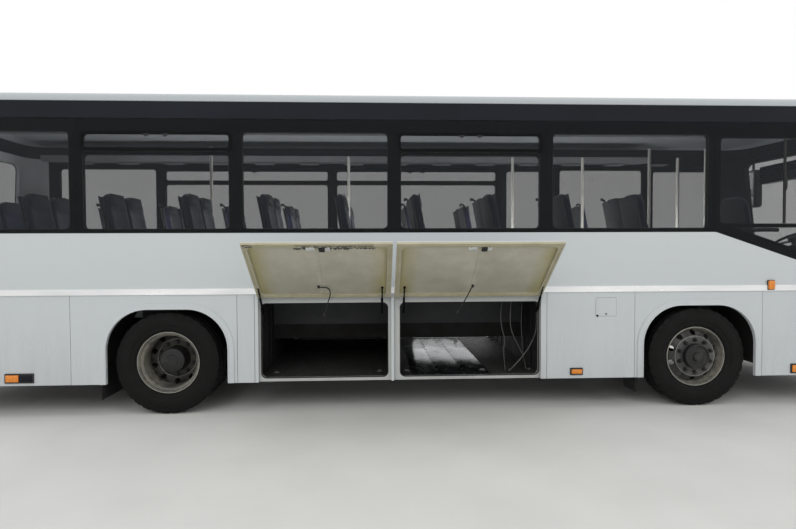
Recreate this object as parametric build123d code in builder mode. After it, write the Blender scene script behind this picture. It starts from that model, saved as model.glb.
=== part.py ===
"""Coach bus: high-floor intercity coach with side luggage doors, rear engine and twin rear wheels.

Millimetres. +X is the front, +Y the left side, +Z up. The origin is on the ground at mid-length.
"""

import os
from math import cos, radians, sin

from build123d import *

# Overall sizes
body_width = 2500.0
sill_z = 309.0
roof_crown_z = 3172.0
roof_edge_z = 3123.0
roof_cove = 80.0
roof_end_round = 160.0
roof_end_clear = 14.0
wall = 45.0
glass_thick = 6.0
seat_gap = 0.3
panel_gap = 4.0

# Running gear
wheelbase = 5308.0
front_overhang = 2450.0
rear_overhang = 2842.0
tyre_radius = 505.0
tyre_width = 292.0
rim_flange_radius = 298.5
rim_seat_radius = 284.0
rim_width = 236.0
rim_thick = 14.0
front_flange_y = 1200.0
rear_flange_y = 1197.0
twin_spacing = 316.0
disc_thick = 14.0
kingpin_y = 890.0
front_hub_x = 130.0
front_cap_x = 168.0
rear_hub_x = -20.0
rear_cap_x = 24.0
hub_radius = 128.0
rear_hub_radius = 122.0
spindle_radius = 50.0
spindle_clearance = 0.5

# Heights of the body's horizontal lines
strip_low_z = 1177.0
strip_high_z = 1235.0
strip_proud = 12.0
belt_z = 1774.0
glass_low_z = 1815.0
hopper_bar_z = 2560.0
glass_high_z = 2748.0
band_low_z = 2877.0
band_high_z = 3044.0
belt_front_z = 1331.0
belt_break_x = 3014.0
belt_level_x = 4330.0

# Ends of the body; the joints are measured from the nose and from the tail
front_joint = 700.0
rear_joint = 350.0
front_corner = 300.0
rear_corner = 240.0
front_bow = 130.0
windscreen_rake = 210.0
rear_rake = 90.0
bumper_top_z = 560.0

# Floors
podium_z = 1150.0
podium_thick = 40.0
gangway_z = 860.0
gangway_half = 340.0
trough_wall = 40.0
trough_under_z = 763.0
rail_low_z = 600.0
rail_y = (300.0, 376.0)
rear_floor_x = -3000.0
front_floor_x = 5150.0
front_floor_half = 900.0
step_z = (600.0, 372.0)
step_inset = 300.0

# Luggage bays: (x_low, x_high) of each opening, rear bay first
bay_low_z = 338.0
bay_high_z = 1085.0
bay_corner = 55.0
bay_openings = {"right": ((-1554.0, -296.0), (-183.0, 1226.0)), "left": ((-1554.0, -296.0), (102.0, 1226.0))}
bay_frame_x = (-1606.0, 1290.0)
bay_frame_depth = 62.0
bay_floor_z = 330.0
bay_floor_thick = 16.0
bulkhead_thick = 30.0
bay_bulkheads_x = (-1591.0, -240.0, 1274.0)
bay_inside_x = (-1606.0, 1289.0)
door_frame_gap = 6.0

# Luggage doors: (name, side, x_low, x_high, opened at rest)
door_hinge_z = 1166.0
door_hinge_out = 4.0
door_hinge_radius = 5.0
door_top_gap = 6.0
door_length = 858.0
door_thick = 32.0
door_rim = 46.0
door_pan_depth = 18.0
door_open_above = 37.0
door_latch = (200.0, 56.0, 6.0)
door_latch_rise = 76.0
hinge_lug = 16.0
luggage_doors = (
    ("luggage_door_right_rear", "right", -1566.0, -272.0, True),
    ("luggage_door_right_front", "right", -238.0, 1226.0, True),
    ("luggage_door_left_rear", "left", -1566.0, -240.0, False),
    ("luggage_door_left_front", "left", 60.0, 1262.0, True),
)

# Wheel arches, from each axle
arch_rear_reach = 574.0
arch_front_reach = 593.0
arch_top_z = 1035.0
arch_corner = 400.0
flare_width = 60.0
flare_proud = 9.0
housing_reach = 640.0
housing_top_z = 1096.0
housing_corner = 380.0
housing_thick = 8.0
housing_inner_y = 560.0

# Seams of the skirt, and the passenger doors of the left side
seam_a_x = -3363.0
seam_b_x = -1773.0
seam_c_x = 2187.0
seam_d_x = 3512.0
skirt_thick = 30.0
middle_door_x = (1400.0, 2180.0)
front_door_reach = (710.0, 1690.0)  # ahead of the front axle
door_leaf_low_z = 345.0
door_leaf_high_z = 2800.0
door_leaf_frame = 75.0

# Windows: (seam, seam) of each pane, whether it has a hopper, and the clear glass inside each pane
side_panes = {  # (x_low, x_high, hopper)
    "right": ((-4870.0, -3281.0, False), (-3281.0, -1770.0, True), (-1770.0, -234.0, False),
              (-234.0, 1278.0, True), (1278.0, 2992.0, False)),
    "left": ((-4870.0, -3422.0, False), (-3422.0, -1025.0, True), (-1025.0, 1388.0, True),
             (2192.0, 3548.0, False)),
}
clear_inset = 66.0
driver_pane_x = 2992.0
driver_clear_x = (3060.0, 4480.0)
driver_border = 113.0
pane_gap = 3.0
driver_high_z = 2721.0
driver_bar_z = (1818.0, 1859.0)
hopper_frame = 30.0
hopper_proud = 7.0
hopper_inset = 32.0
hopper_z = (2583.0, 2735.0)
pane_corner = 45.0

# Small service pieces
fuel_flap_x = (1789.0, 1997.0)
fuel_flap_z = (930.0, 1119.0)
flap_thick = 12.0
flap_corner = 14.0
flap_hinge_radius = 4.0
engine_cover_half = 820.0
engine_cover_z = (640.0, 1480.0)
rear_window_half = 960.0
rear_window_z = (1930.0, 2760.0)

# Ends: windscreen, lamps, grille, louvres of the engine cover, roof hatches
windscreen_half = 1120.0
windscreen_z = (1390.0, 2830.0)
windscreen_corner = 90.0
headlamp_y = (760.0, 1080.0)
headlamp_z = (640.0, 830.0)
headlamp_corner = 60.0
grille_z = 980.0
grille_half = 420.0
grille_pitch = 60.0
grille_slots = 4
grille_slot_height = 28.0
tail_lamp_y = (960.0, 1110.0)
tail_lamp_z = (760.0, 1330.0)
tail_lamp_corner = 40.0
louvre_z = 1180.0
louvre_half = 620.0
louvre_height = 26.0
louvre_pitch = 56.0
louvre_count = 6
hatch_places = ((-3000.0, -2200.0), (1700.0, 2500.0))
hatch_half = 330.0
hatch_lid_thick = 34.0
hatch_lip = 30.0
hatch_gap = 12.0

hatch_corner = 60.0
hatch_chamfer = 12.0
hatch_hinge_radius = 9.0
hatch_hinge_gap = 2.5
door_split_z = 1300.0
door_low_glass_z = 520.0
door_glass_depth = 14.0
door_step_gap = 12.0
door_arm = (60.0, 55.0)
step_riser = 24.0

# Chassis and engine
rail_x = (-4900.0, 4700.0)
cross_members_x = (-3400.0, -1700.0, 100.0, 1700.0, 3600.0, 4500.0)
cross_member_width = 80.0
cross_member_z = (640.0, 740.0)
housing_low_z = 420.0
engine_x = (-4900.0, -3700.0)
engine_half = 288.0
engine_z = (420.0, 1060.0)
engine_round = 40.0
engine_feet_x = (-4700.0, -3900.0)
engine_foot = 90.0
engine_hinge_radius = 9.0
engine_hinge_half = 700.0
engine_hinge_out = 2.2

# Axles, knuckles and steering
beam_half = 45.0
beam_z = (400.0, 490.0)
beam_end_y = 812.0
boss_radius = 48.0
boss_z = (442.0, 558.0)
kingpin_radius = 26.0
kingpin_z = (386.0, 614.0)
knuckle_arm = 48.0
knuckle_plate_y = (944.0, 984.0)
knuckle_half = 62.0
bellows_radius = 70.0
axle_tube_radius = 85.0
axle_tube_y = 640.0
differential_radius = 192.0
brake_radius = 190.0
brake_y = (600.0, 700.0)
wheel_centre = (4310.0, -650.0, 1700.0)
wheel_tilt = 26.0
wheel_radius = 225.0
wheel_tube = 15.0
wheel_spokes = 3
column_radius = 38.0

# Inside
seat_rows_x = {  # cushion's rear edge of each row
    "right": (2330.0, 1568.0, 806.0, 44.0, -718.0, -1480.0, -2242.0, -3004.0, -3766.0),
    "left": (2330.0, 806.0, 44.0, -718.0, -1480.0, -2242.0, -3004.0, -3766.0),
}
seat_width = 836.0
seat_wall_gap = 17.0
seat_depth = 430.0
cushion_z = (1480.0, 1600.0)
pedestal_y = (560.0, 980.0)
pedestal_depth = 90.0
back_thick = 95.0
cushion_round = 50.0
back_top_z = 2190.0
back_lean = 11.0
bench_x = -4640.0
driver_seat_x = 3640.0
driver_seat_half = 240.0
rack_x = (-4850.0, 3400.0)
rack_width = 344.7
rack_z = (2800.0, 2842.0)
pole_radius = 17.0
poles = (  # (x, y)
    (2800.0, -320.0), (3480.0, -320.0), (3500.0, 320.0), (1340.0, 320.0), (2250.0, 320.0),
    (-750.0, 320.0), (-2275.0, -320.0),
)
pole_top_z = 2780.0
dash_half = 1040.0
dash_outline = ((4720.0, 0.0), (5080.0, 0.0), (5080.0, 500.0), (4960.0, 560.0), (4800.0, 520.0), (4720.0, 330.0))

# Lamps, mirrors, wipers, towing eyes
lamp_gap = 3.0
lamp_proud = 14.0
side_lamps = {  # (x_low, x_high, z_low, z_high, face it stands on from the side)
    "right": ((-3978.0, -3715.0, 339.0, 424.0, 0.0), (1530.0, 1651.0, 347.0, 410.0, 0.0),
              (3817.0, 4042.0, 334.0, 424.0, 0.0), (3556.0, 3623.0, 1186.0, 1226.0, 12.0)),
    "left": ((-3978.0, -3715.0, 339.0, 424.0, 0.0), (2900.0, 2967.0, 1186.0, 1226.0, 12.0)),
}
mirror_pad = ((4930.0, 5120.0), (1080.0, 1170.0), (2900.0, 2990.0))
mirror_arm_radius = 17.0
mirror_arm = ((5040.0, 1125.0, 2945.0), (5180.0, 1290.0, 3040.0), (5290.0, 1400.0, 3010.0), (5290.0, 1400.0, 2740.0))
mirror_arm_bend = 60.0
mirror_size = (140.0, 250.0, 560.0)
mirror_centre = (5290.0, 1400.0, 2500.0)
mirror_round = 45.0
wiper_pivots_y = (-560.0, 420.0)
wiper_pivot_z = 1362.0
wiper_length = 820.0
wiper_width = 26.0
wiper_lean = 52.0
wiper_stand = 4.0
wiper_thick = 18.0
eye_size = (60.0, 90.0, 30.0)
eye_radius = 17.0
eye_y = 620.0
eye_z = 415.0
eye_offset = 30.0

# Values that follow from the sizes above
half_width = body_width / 2
body_length = rear_overhang + wheelbase + front_overhang
half_length = body_length / 2
rear_axle_x = rear_overhang - half_length
front_axle_x = rear_axle_x + wheelbase
front_joint_x = half_length - front_joint
rear_joint_x = rear_joint - half_length
front_door_x = tuple(front_axle_x + reach for reach in front_door_reach)
engine_hinge_x = -half_length - engine_hinge_out
front_rim_y = front_flange_y - rim_width / 2
rear_rim_y = rear_flange_y - rim_width / 2
twin_rim_y = rear_rim_y - twin_spacing
hinge_y = half_width + door_hinge_out
inner_y = half_width - wall
seat_y = (inner_y - seat_wall_gap - seat_width, inner_y - seat_wall_gap)
rack_y = (inner_y - seat_gap - rack_width, inner_y - seat_gap)
trough_outer = gangway_half + trough_wall
side_signs = {"right": -1, "left": 1}

os.makedirs("parts", exist_ok=True)


def save(name, part):
    """Label a finished piece and write it."""
    part.label = name
    export_step(part, f"parts/{name}.step")


def side_plane(side, depth=0.0):
    """Plane along a side wall: sketch x is +X, sketch y is +Z, and it faces the coach's right side."""
    return Plane(origin=(0, side_signs[side] * (half_width - depth), 0), x_dir=(1, 0, 0), z_dir=(0, -1, 0))


def inwards(side, thickness):
    """Extrusion amount from a side plane towards the inside of the coach."""
    return side_signs[side] * thickness


def rectangle(x_range, z_range):
    """Centre, width and height of a rectangle from its two ranges."""
    centre = (sum(x_range) / 2, sum(z_range) / 2)
    return centre, abs(x_range[1] - x_range[0]), abs(z_range[1] - z_range[0])


def add_rectangle(x_range, z_range, corner=0.0, mode=Mode.ADD):
    """Rectangle between two ranges in the sketch that is open, with round corners if wanted."""
    centre, width, height = rectangle(x_range, z_range)
    with Locations(centre):
        if corner:
            RectangleRounded(width, height, corner, mode=mode)
        else:
            Rectangle(width, height, mode=mode)


def add_box(x_range, y_range, z_range, mode=Mode.ADD):
    """Box between three ranges in the part that is open."""
    middle = tuple(sum(r) / 2 for r in (x_range, y_range, z_range))
    with Locations(middle):
        Box(x_range[1] - x_range[0], y_range[1] - y_range[0], z_range[1] - z_range[0], mode=mode)


# Body volume: a lofted plan outline, cut by the roof's cross-section and the long section
def body_volume(inset):
    """Solid of the body's outside, moved in by inset."""
    low = sill_z - inset
    high = roof_crown_z + wall
    with BuildPart() as volume:
        for z, share in ((low, 0.0), (belt_front_z, 0.0), (high, 1.0)):
            x_front = half_length - windscreen_rake * share - inset
            x_rear = rear_rake * share + inset - half_length
            y_side = half_width - inset
            with BuildSketch(Plane.XY.offset(z)) as plan:
                with BuildLine():
                    Polyline((x_front - front_bow, -y_side), (x_rear, -y_side), (x_rear, y_side),
                             (x_front - front_bow, y_side))
                    ThreePointArc((x_front - front_bow, y_side), (x_front, 0), (x_front - front_bow, -y_side))
                make_face()
                fillet(plan.vertices().sort_by(Axis.X)[-2:], front_corner - inset)
                fillet(plan.vertices().sort_by(Axis.X)[:2], rear_corner - inset)
        loft(ruled=True)
        with BuildSketch(Plane.YZ.offset(-half_length)) as cross:
            edge_z = roof_edge_z - inset
            with BuildLine():
                Polyline((half_width - inset, edge_z), (half_width - inset, low),
                         (inset - half_width, low), (inset - half_width, edge_z))
                ThreePointArc((inset - half_width, edge_z), (0, roof_crown_z - inset),
                              (half_width - inset, edge_z))
            make_face()
            fillet(cross.vertices().group_by(Axis.Y)[-1], roof_cove - inset)
        extrude(amount=body_length, mode=Mode.INTERSECT)
        with BuildSketch(Plane.XZ.offset(-half_width)) as long_section:
            top = roof_crown_z - inset
            reach = half_length + roof_end_clear
            x_front = reach - windscreen_rake - inset
            x_rear = rear_rake + inset - reach
            with BuildLine():
                Polyline((reach, low), (-reach, low), (-reach, belt_front_z), (x_rear, top), (x_front, top),
                         (reach, belt_front_z), (reach, low))
            make_face()
            fillet(long_section.vertices().group_by(Axis.Y)[-1], roof_end_round - inset)
        extrude(amount=body_width, mode=Mode.INTERSECT)
    return volume.part


outer_volume = body_volume(0.0)
body_shell = outer_volume - body_volume(wall)
glass_shell = outer_volume - body_volume(glass_thick)
far = body_length


def shell_region(x_range, z_range, shell=body_shell):
    """The body's shell between two ranges of X and Z."""
    with BuildPart() as region:
        add(shell)
        add_box(x_range, (-body_width, body_width), z_range, Mode.INTERSECT)
    return region.part



# Side walls
door_gaps = {"right": (), "left": (middle_door_x, front_door_x)}


def belt_line_z(x):
    """Height of the belt line, which drops beside the driver and is level again at the front."""
    drop = (belt_z - belt_front_z) / (belt_level_x - belt_break_x)
    return max(belt_front_z, min(belt_z, belt_z - (x - belt_break_x) * drop))


def has_belt_drop(side):
    """The belt drops on the driver's side only."""
    return side == "right"


def belt_points(side, x_low, x_high, raised=0.0):
    """(x, z) points of the belt line from x_low to x_high, raised by a border."""
    if not has_belt_drop(side):
        return [(x_low, belt_z + raised), (x_high, belt_z + raised)]
    breaks = [x for x in (belt_break_x, belt_level_x) if x_low < x < x_high]
    return [(x, belt_line_z(x) + raised) for x in (x_low, *breaks, x_high)]


def driver_lower_glass():
    """Outline of the low pane beside the driver, its lower edge along the dropped belt."""
    low = belt_points("right", *driver_clear_x, driver_border)
    top = driver_bar_z[0]
    slope = (belt_z - belt_front_z) / (belt_level_x - belt_break_x)
    first_x = belt_break_x + (belt_z + driver_border - top) / slope
    return [(first_x, top)] + low[1:] + [(driver_clear_x[1], top)]


def cut_doorways(side, z_range):
    """Cut the passenger doorways out of the sketch that is open."""
    for x_range in door_gaps[side]:
        add_rectangle(x_range, z_range, mode=Mode.SUBTRACT)


with BuildPart() as waist_panels:
    for side in side_signs:
        with BuildSketch(side_plane(side)):
            with BuildLine():
                Polyline(*belt_points(side, rear_joint_x, front_joint_x), (front_joint_x, strip_low_z),
                         (rear_joint_x, strip_low_z), close=True)
            make_face()
            cut_doorways(side, (door_leaf_low_z, door_leaf_high_z))
        extrude(amount=inwards(side, wall))
save("waist_panels", waist_panels.part)

with BuildPart() as rub_strips:
    for side in side_signs:
        with BuildSketch(side_plane(side)):
            add_rectangle((rear_joint_x, front_joint_x), (strip_low_z, strip_high_z))
            cut_doorways(side, (door_leaf_low_z, door_leaf_high_z))
        extrude(amount=inwards(side, -strip_proud))
save("rub_strips", rub_strips.part)

with BuildPart() as window_frames:
    for side in side_signs:
        with BuildSketch(side_plane(side, glass_thick)):
            with BuildLine():
                Polyline(*belt_points(side, rear_joint_x, front_joint_x), (front_joint_x, band_low_z),
                         (rear_joint_x, band_low_z), close=True)
            make_face()
            cut_doorways(side, (door_leaf_low_z, door_leaf_high_z))
            for x_low, x_high, hopper in side_panes[side]:
                clear_x = (x_low + clear_inset, x_high - clear_inset)
                if hopper:
                    add_rectangle(clear_x, (glass_low_z, hopper_bar_z - hopper_frame), pane_corner, Mode.SUBTRACT)
                    add_rectangle(clear_x, hopper_z, pane_corner, Mode.SUBTRACT)
                else:
                    add_rectangle(clear_x, (glass_low_z, glass_high_z), pane_corner, Mode.SUBTRACT)
            if has_belt_drop(side):
                add_rectangle(driver_clear_x, (driver_bar_z[1], driver_high_z), pane_corner, Mode.SUBTRACT)
                with BuildLine():
                    Polyline(*driver_lower_glass(), close=True)
                make_face(mode=Mode.SUBTRACT)
        extrude(amount=inwards(side, wall - glass_thick))
save("window_frames", window_frames.part)

with BuildPart() as side_windows:
    for side in side_signs:
        with BuildSketch(side_plane(side)):
            for x_low, x_high, hopper in side_panes[side]:
                pane_x = (x_low + pane_gap / 2, x_high - pane_gap / 2)
                if hopper:
                    add_rectangle(pane_x, (belt_z + pane_gap, hopper_bar_z - pane_gap / 2))
                    add_rectangle(pane_x, (hopper_bar_z + pane_gap / 2, band_low_z - pane_gap))
                else:
                    add_rectangle(pane_x, (belt_z + pane_gap, band_low_z - pane_gap))
            if has_belt_drop(side):
                pane_x = (driver_pane_x + pane_gap / 2, front_joint_x - pane_gap)
                with BuildLine():
                    Polyline(*belt_points(side, *pane_x, pane_gap), (pane_x[1], band_low_z - pane_gap),
                             (pane_x[0], band_low_z - pane_gap), close=True)
                make_face()
        extrude(amount=inwards(side, glass_thick))
save("side_windows", side_windows.part)

with BuildPart() as hopper_frames:
    for side in side_signs:
        with BuildSketch(side_plane(side)):
            for x_low, x_high, hopper in side_panes[side]:
                if hopper:
                    sash_x = (x_low + clear_inset - hopper_inset, x_high - clear_inset + hopper_inset)
                    sash_z = (hopper_z[0] - hopper_inset / 2, hopper_z[1] + hopper_inset / 2)
                    add_rectangle(sash_x, sash_z, pane_corner)
                    add_rectangle((sash_x[0] + hopper_frame, sash_x[1] - hopper_frame),
                                  (sash_z[0] + hopper_frame, sash_z[1] - hopper_frame),
                                  pane_corner - hopper_frame / 2, Mode.SUBTRACT)
        extrude(amount=inwards(side, -hopper_proud))
save("hopper_frames", hopper_frames.part)


# Skirts: panels between seams, with wheel arches and raised lips
def skirt_spans(side):
    """(x_low, x_high, axle or None) of each skirt panel on a side, with the posts beside its luggage doors."""
    rear_door, front_door = [door[2:4] for door in luggage_doors if door[1] == side]
    spans = [(rear_joint_x, seam_a_x, None), (seam_a_x, seam_b_x, rear_axle_x), (seam_b_x, bay_frame_x[0], None),
             (bay_frame_x[0], rear_door[0] - panel_gap / 2, None),
             (rear_door[1] + panel_gap / 2, front_door[0] - panel_gap / 2, None),
             (front_door[1] + panel_gap / 2, bay_frame_x[1], None), (seam_c_x, seam_d_x, front_axle_x)]
    if side == "right":
        return spans + [(bay_frame_x[1], seam_c_x, None), (seam_d_x, front_joint_x, None)]
    return spans + [(bay_frame_x[1], middle_door_x[0], None), (seam_d_x, front_door_x[0], None),
                    (front_door_x[1], front_joint_x, None)]


def arch_outline(axle_x, grow):
    """Wheel arch opening, with its round top corners, in the sketch that is open, grown all round."""
    x_range = (axle_x - arch_rear_reach - grow, axle_x + arch_front_reach + grow)
    add_rectangle(x_range, (-2 * arch_corner, arch_top_z + grow), arch_corner + grow)


with BuildPart() as skirts:
    for side in side_signs:
        for x_low, x_high, axle_x in skirt_spans(side):
            span = (x_low + panel_gap / 2, x_high - panel_gap / 2)
            with BuildSketch(side_plane(side)):
                add_rectangle(span, (sill_z, strip_low_z))
            extrude(amount=inwards(side, skirt_thick))
            if axle_x is not None:
                with BuildSketch(side_plane(side)):
                    arch_outline(axle_x, flare_width)
                    add_rectangle(span, (-body_width, sill_z), mode=Mode.SUBTRACT)
                extrude(amount=inwards(side, -flare_proud))
    with BuildSketch(Plane.XZ.offset(-body_width)):
        for axle_x in (rear_axle_x, front_axle_x):
            arch_outline(axle_x, 0.0)
    extrude(amount=2 * body_width, mode=Mode.SUBTRACT)
    with BuildSketch(side_plane("right")):
        add_rectangle(fuel_flap_x, fuel_flap_z, flap_corner)
    extrude(amount=inwards("right", skirt_thick), mode=Mode.SUBTRACT)
    for name, side, x_low, x_high, opened in luggage_doors:
        for lug_x in ((x_low - hinge_lug, x_low - seat_gap), (x_high + seat_gap, x_high + hinge_lug)):
            lug_y = sorted(side_signs[side] * y for y in (half_width - panel_gap, hinge_y + door_hinge_radius))
            add_box(lug_x, lug_y, (door_hinge_z - door_hinge_radius, door_hinge_z + door_hinge_radius))
save("skirts", skirts.part)

with BuildPart() as fuel_flap:
    with BuildSketch(side_plane("right")):
        add_rectangle((fuel_flap_x[0] + panel_gap / 2, fuel_flap_x[1] - panel_gap / 2),
                      (fuel_flap_z[0] + panel_gap / 2, fuel_flap_z[1] - panel_gap / 2), flap_corner)
    extrude(amount=inwards("right", flap_thick))
    hinge_y_right = -half_width - flap_hinge_radius - seat_gap
    with BuildSketch(Plane.XY.offset(fuel_flap_z[0] + 4 * panel_gap)):
        with Locations((fuel_flap_x[0], hinge_y_right)):
            Circle(flap_hinge_radius)
        with Locations((fuel_flap_x[0] + 2 * panel_gap, hinge_y_right + flap_hinge_radius / 2)):
            Rectangle(4 * panel_gap, flap_hinge_radius)
        with Locations((fuel_flap_x[0] + 3.5 * panel_gap, -half_width)):
            Rectangle(panel_gap, 2 * flap_hinge_radius)
    extrude(amount=fuel_flap_z[1] - fuel_flap_z[0] - 8 * panel_gap)
save("fuel_flap", fuel_flap.part)

# Luggage bays: frames, floor, bulkheads
with BuildPart() as bay_frames:
    for side in side_signs:
        with BuildSketch(side_plane(side, door_thick + door_frame_gap)):
            add_rectangle((bay_frame_x[0] + panel_gap, bay_frame_x[1] - panel_gap), (sill_z, strip_low_z))
            for x_low, x_high in bay_openings[side]:
                add_rectangle((x_low, x_high), (bay_low_z, bay_high_z), bay_corner, Mode.SUBTRACT)
        extrude(amount=inwards(side, bay_frame_depth))
save("bay_frames", bay_frames.part)

frame_inner_y = half_width - door_thick - door_frame_gap - bay_frame_depth
with BuildPart() as bay_floor:
    add_box(bay_inside_x, (-frame_inner_y, frame_inner_y), (bay_floor_z - bay_floor_thick, bay_floor_z))
save("bay_floor", bay_floor.part)

with BuildPart() as bay_bulkheads:
    for x in bay_bulkheads_x:
        with BuildSketch(Plane.YZ.offset(x - bulkhead_thick / 2)):
            add_rectangle((-frame_inner_y, frame_inner_y), (bay_floor_z, podium_z - podium_thick))
            add_rectangle((-trough_outer, trough_outer), (rail_low_z - panel_gap, podium_z), mode=Mode.SUBTRACT)
        extrude(amount=bulkhead_thick)
save("bay_bulkheads", bay_bulkheads.part)


def door_axes(side, opened):
    """Outward and downward directions of a luggage door, turned by how far it is opened."""
    turned = radians(90 + door_open_above) if opened else 0.0
    sign = side_signs[side]
    return (0, sign * cos(turned), sin(turned)), (0, sign * sin(turned), -cos(turned))


def luggage_door(side, x_low, x_high, opened):
    """Pressed door with a hinge barrel, a recessed inner pan and a latch, as it stands."""
    outward, down = door_axes(side, opened)
    sign = side_signs[side]
    hinge = (0, sign * hinge_y, door_hinge_z)
    section = Plane(origin=(x_low if sign < 0 else x_high, *hinge[1:]), x_dir=outward, z_dir=(-sign, 0, 0))
    face = Plane(origin=((x_low + x_high) / 2, *hinge[1:]), x_dir=(sign, 0, 0), z_dir=outward)
    inner = -door_hinge_out - door_thick
    with BuildPart() as door:
        with BuildSketch(section):
            with Locations(((inner - door_hinge_out) / 2, (door_top_gap + door_length) / 2)):
                Rectangle(door_thick, door_length - door_top_gap)
            Circle(door_hinge_radius)
            Polygon((-1, 0), (-door_hinge_out - 5, door_top_gap + 2), (-door_hinge_out, door_top_gap + 2), (3, 3),
                    align=None)
        extrude(amount=x_high - x_low)
        with BuildSketch(face.offset(inner)):
            with Locations((0, (door_top_gap + door_length) / 2)):
                RectangleRounded(x_high - x_low - 2 * door_rim, door_length - door_top_gap - 2 * door_rim, door_rim)
        extrude(amount=door_pan_depth, mode=Mode.SUBTRACT)
        plate_x, plate_z, plate_thick = door_latch
        with BuildSketch(face.offset(inner + door_pan_depth)):
            with Locations((0, door_length - door_latch_rise)):
                Rectangle(plate_x, plate_z)
        extrude(amount=-plate_thick)
        with BuildSketch(face.offset(inner + door_pan_depth - plate_thick)):
            with Locations((0, door_length - door_latch_rise)):
                Rectangle(plate_x / 4, plate_z / 2)
        extrude(amount=-2 * plate_thick)
    return door.part


for name, side, x_low, x_high, opened in luggage_doors:
    save(name, luggage_door(side, x_low, x_high, opened))

# Roof, black band, and the two ends
with BuildPart() as roof_shell:
    add(shell_region((-far, far), (band_high_z, roof_crown_z + wall)))
    for x_low, x_high in hatch_places:
        add_box((x_low, x_high), (-hatch_half, hatch_half), (band_high_z, roof_crown_z + wall), Mode.SUBTRACT)
save("roof_shell", roof_shell.part)

save("upper_band", shell_region((-far, far), (band_low_z, band_high_z)))

with BuildPart() as front_panel:
    add(shell_region((front_joint_x, far), (bumper_top_z, belt_front_z)))
    with BuildSketch(Plane.YZ.offset(front_joint_x)):
        for sign in (-1, 1):
            centre, width, height = rectangle(sorted(sign * y for y in headlamp_y), headlamp_z)
            with Locations(centre):
                RectangleRounded(width, height, headlamp_corner)
        with Locations((0, grille_z)):
            with GridLocations(0, grille_pitch, 1, grille_slots):
                SlotOverall(2 * grille_half, grille_slot_height)
    extrude(amount=far, mode=Mode.SUBTRACT)
save("front_panel", front_panel.part)

with BuildPart() as front_pillars:
    add(shell_region((front_joint_x, far), (belt_front_z, band_low_z)))
    with BuildSketch(Plane.YZ.offset(front_joint_x)):
        add_rectangle((-windscreen_half, windscreen_half), windscreen_z, windscreen_corner)
    extrude(amount=far, mode=Mode.SUBTRACT)
save("front_pillars", front_pillars.part)

with BuildPart() as windscreen:
    add(shell_region((front_joint_x, far), (belt_front_z, band_low_z), glass_shell))
    with BuildSketch(Plane.YZ.offset(front_joint_x)):
        add_rectangle((seat_gap - windscreen_half, windscreen_half - seat_gap),
                      (windscreen_z[0] + seat_gap, windscreen_z[1] - seat_gap), windscreen_corner - seat_gap)
    extrude(amount=far, mode=Mode.INTERSECT)
save("windscreen", windscreen.part)

with BuildPart() as rear_panel:
    add(shell_region((-far, rear_joint_x), (bumper_top_z, band_low_z)))
    with BuildSketch(Plane.YZ.offset(rear_joint_x)):
        add_rectangle((-rear_window_half, rear_window_half), rear_window_z, windscreen_corner)
        add_rectangle((-engine_cover_half, engine_cover_half), engine_cover_z, pane_corner)
        for sign in (-1, 1):
            add_rectangle(sorted(sign * y for y in tail_lamp_y), tail_lamp_z, tail_lamp_corner)
    extrude(amount=-far, mode=Mode.SUBTRACT)
save("rear_panel", rear_panel.part)

with BuildPart() as rear_window:
    add(shell_region((-far, rear_joint_x), (belt_z, band_low_z), glass_shell))
    with BuildSketch(Plane.YZ.offset(rear_joint_x)):
        add_rectangle((seat_gap - rear_window_half, rear_window_half - seat_gap),
                      (rear_window_z[0] + seat_gap, rear_window_z[1] - seat_gap), windscreen_corner - seat_gap)
    extrude(amount=-far, mode=Mode.INTERSECT)
save("rear_window", rear_window.part)

with BuildPart() as engine_cover:
    add(shell_region((-far, rear_joint_x), (sill_z, belt_z)))
    with BuildSketch(Plane.YZ.offset(rear_joint_x)):
        add_rectangle((panel_gap - engine_cover_half, engine_cover_half - panel_gap),
                      (engine_cover_z[0] + panel_gap, engine_cover_z[1] - panel_gap), pane_corner - panel_gap)
    extrude(amount=-far, mode=Mode.INTERSECT)
    with BuildSketch(Plane.YZ.offset(rear_joint_x)):
        with GridLocations(0, louvre_pitch, 1, louvre_count):
            with Locations((0, louvre_z)):
                SlotOverall(2 * louvre_half, louvre_height)
    extrude(amount=-far, mode=Mode.SUBTRACT)
    with BuildSketch(Plane.XZ.offset(-engine_hinge_half)):
        with Locations((engine_hinge_x, engine_cover_z[1])):
            Circle(engine_hinge_radius)
        with Locations((engine_hinge_x, engine_cover_z[1] - engine_hinge_radius - panel_gap)):
            Rectangle(engine_hinge_radius, 2 * engine_hinge_radius + 2 * panel_gap)
        with Locations((engine_hinge_x + engine_hinge_radius, engine_cover_z[1] - 2 * engine_hinge_radius - panel_gap)):
            Rectangle(2 * engine_hinge_radius + panel_gap, 2 * panel_gap)
    extrude(amount=2 * engine_hinge_half)
save("engine_cover", engine_cover.part)

with BuildPart() as bumpers:
    add(shell_region((front_joint_x, far), (sill_z, bumper_top_z)))
    add(shell_region((-far, rear_joint_x), (sill_z, bumper_top_z)))
save("bumpers", bumpers.part)

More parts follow.
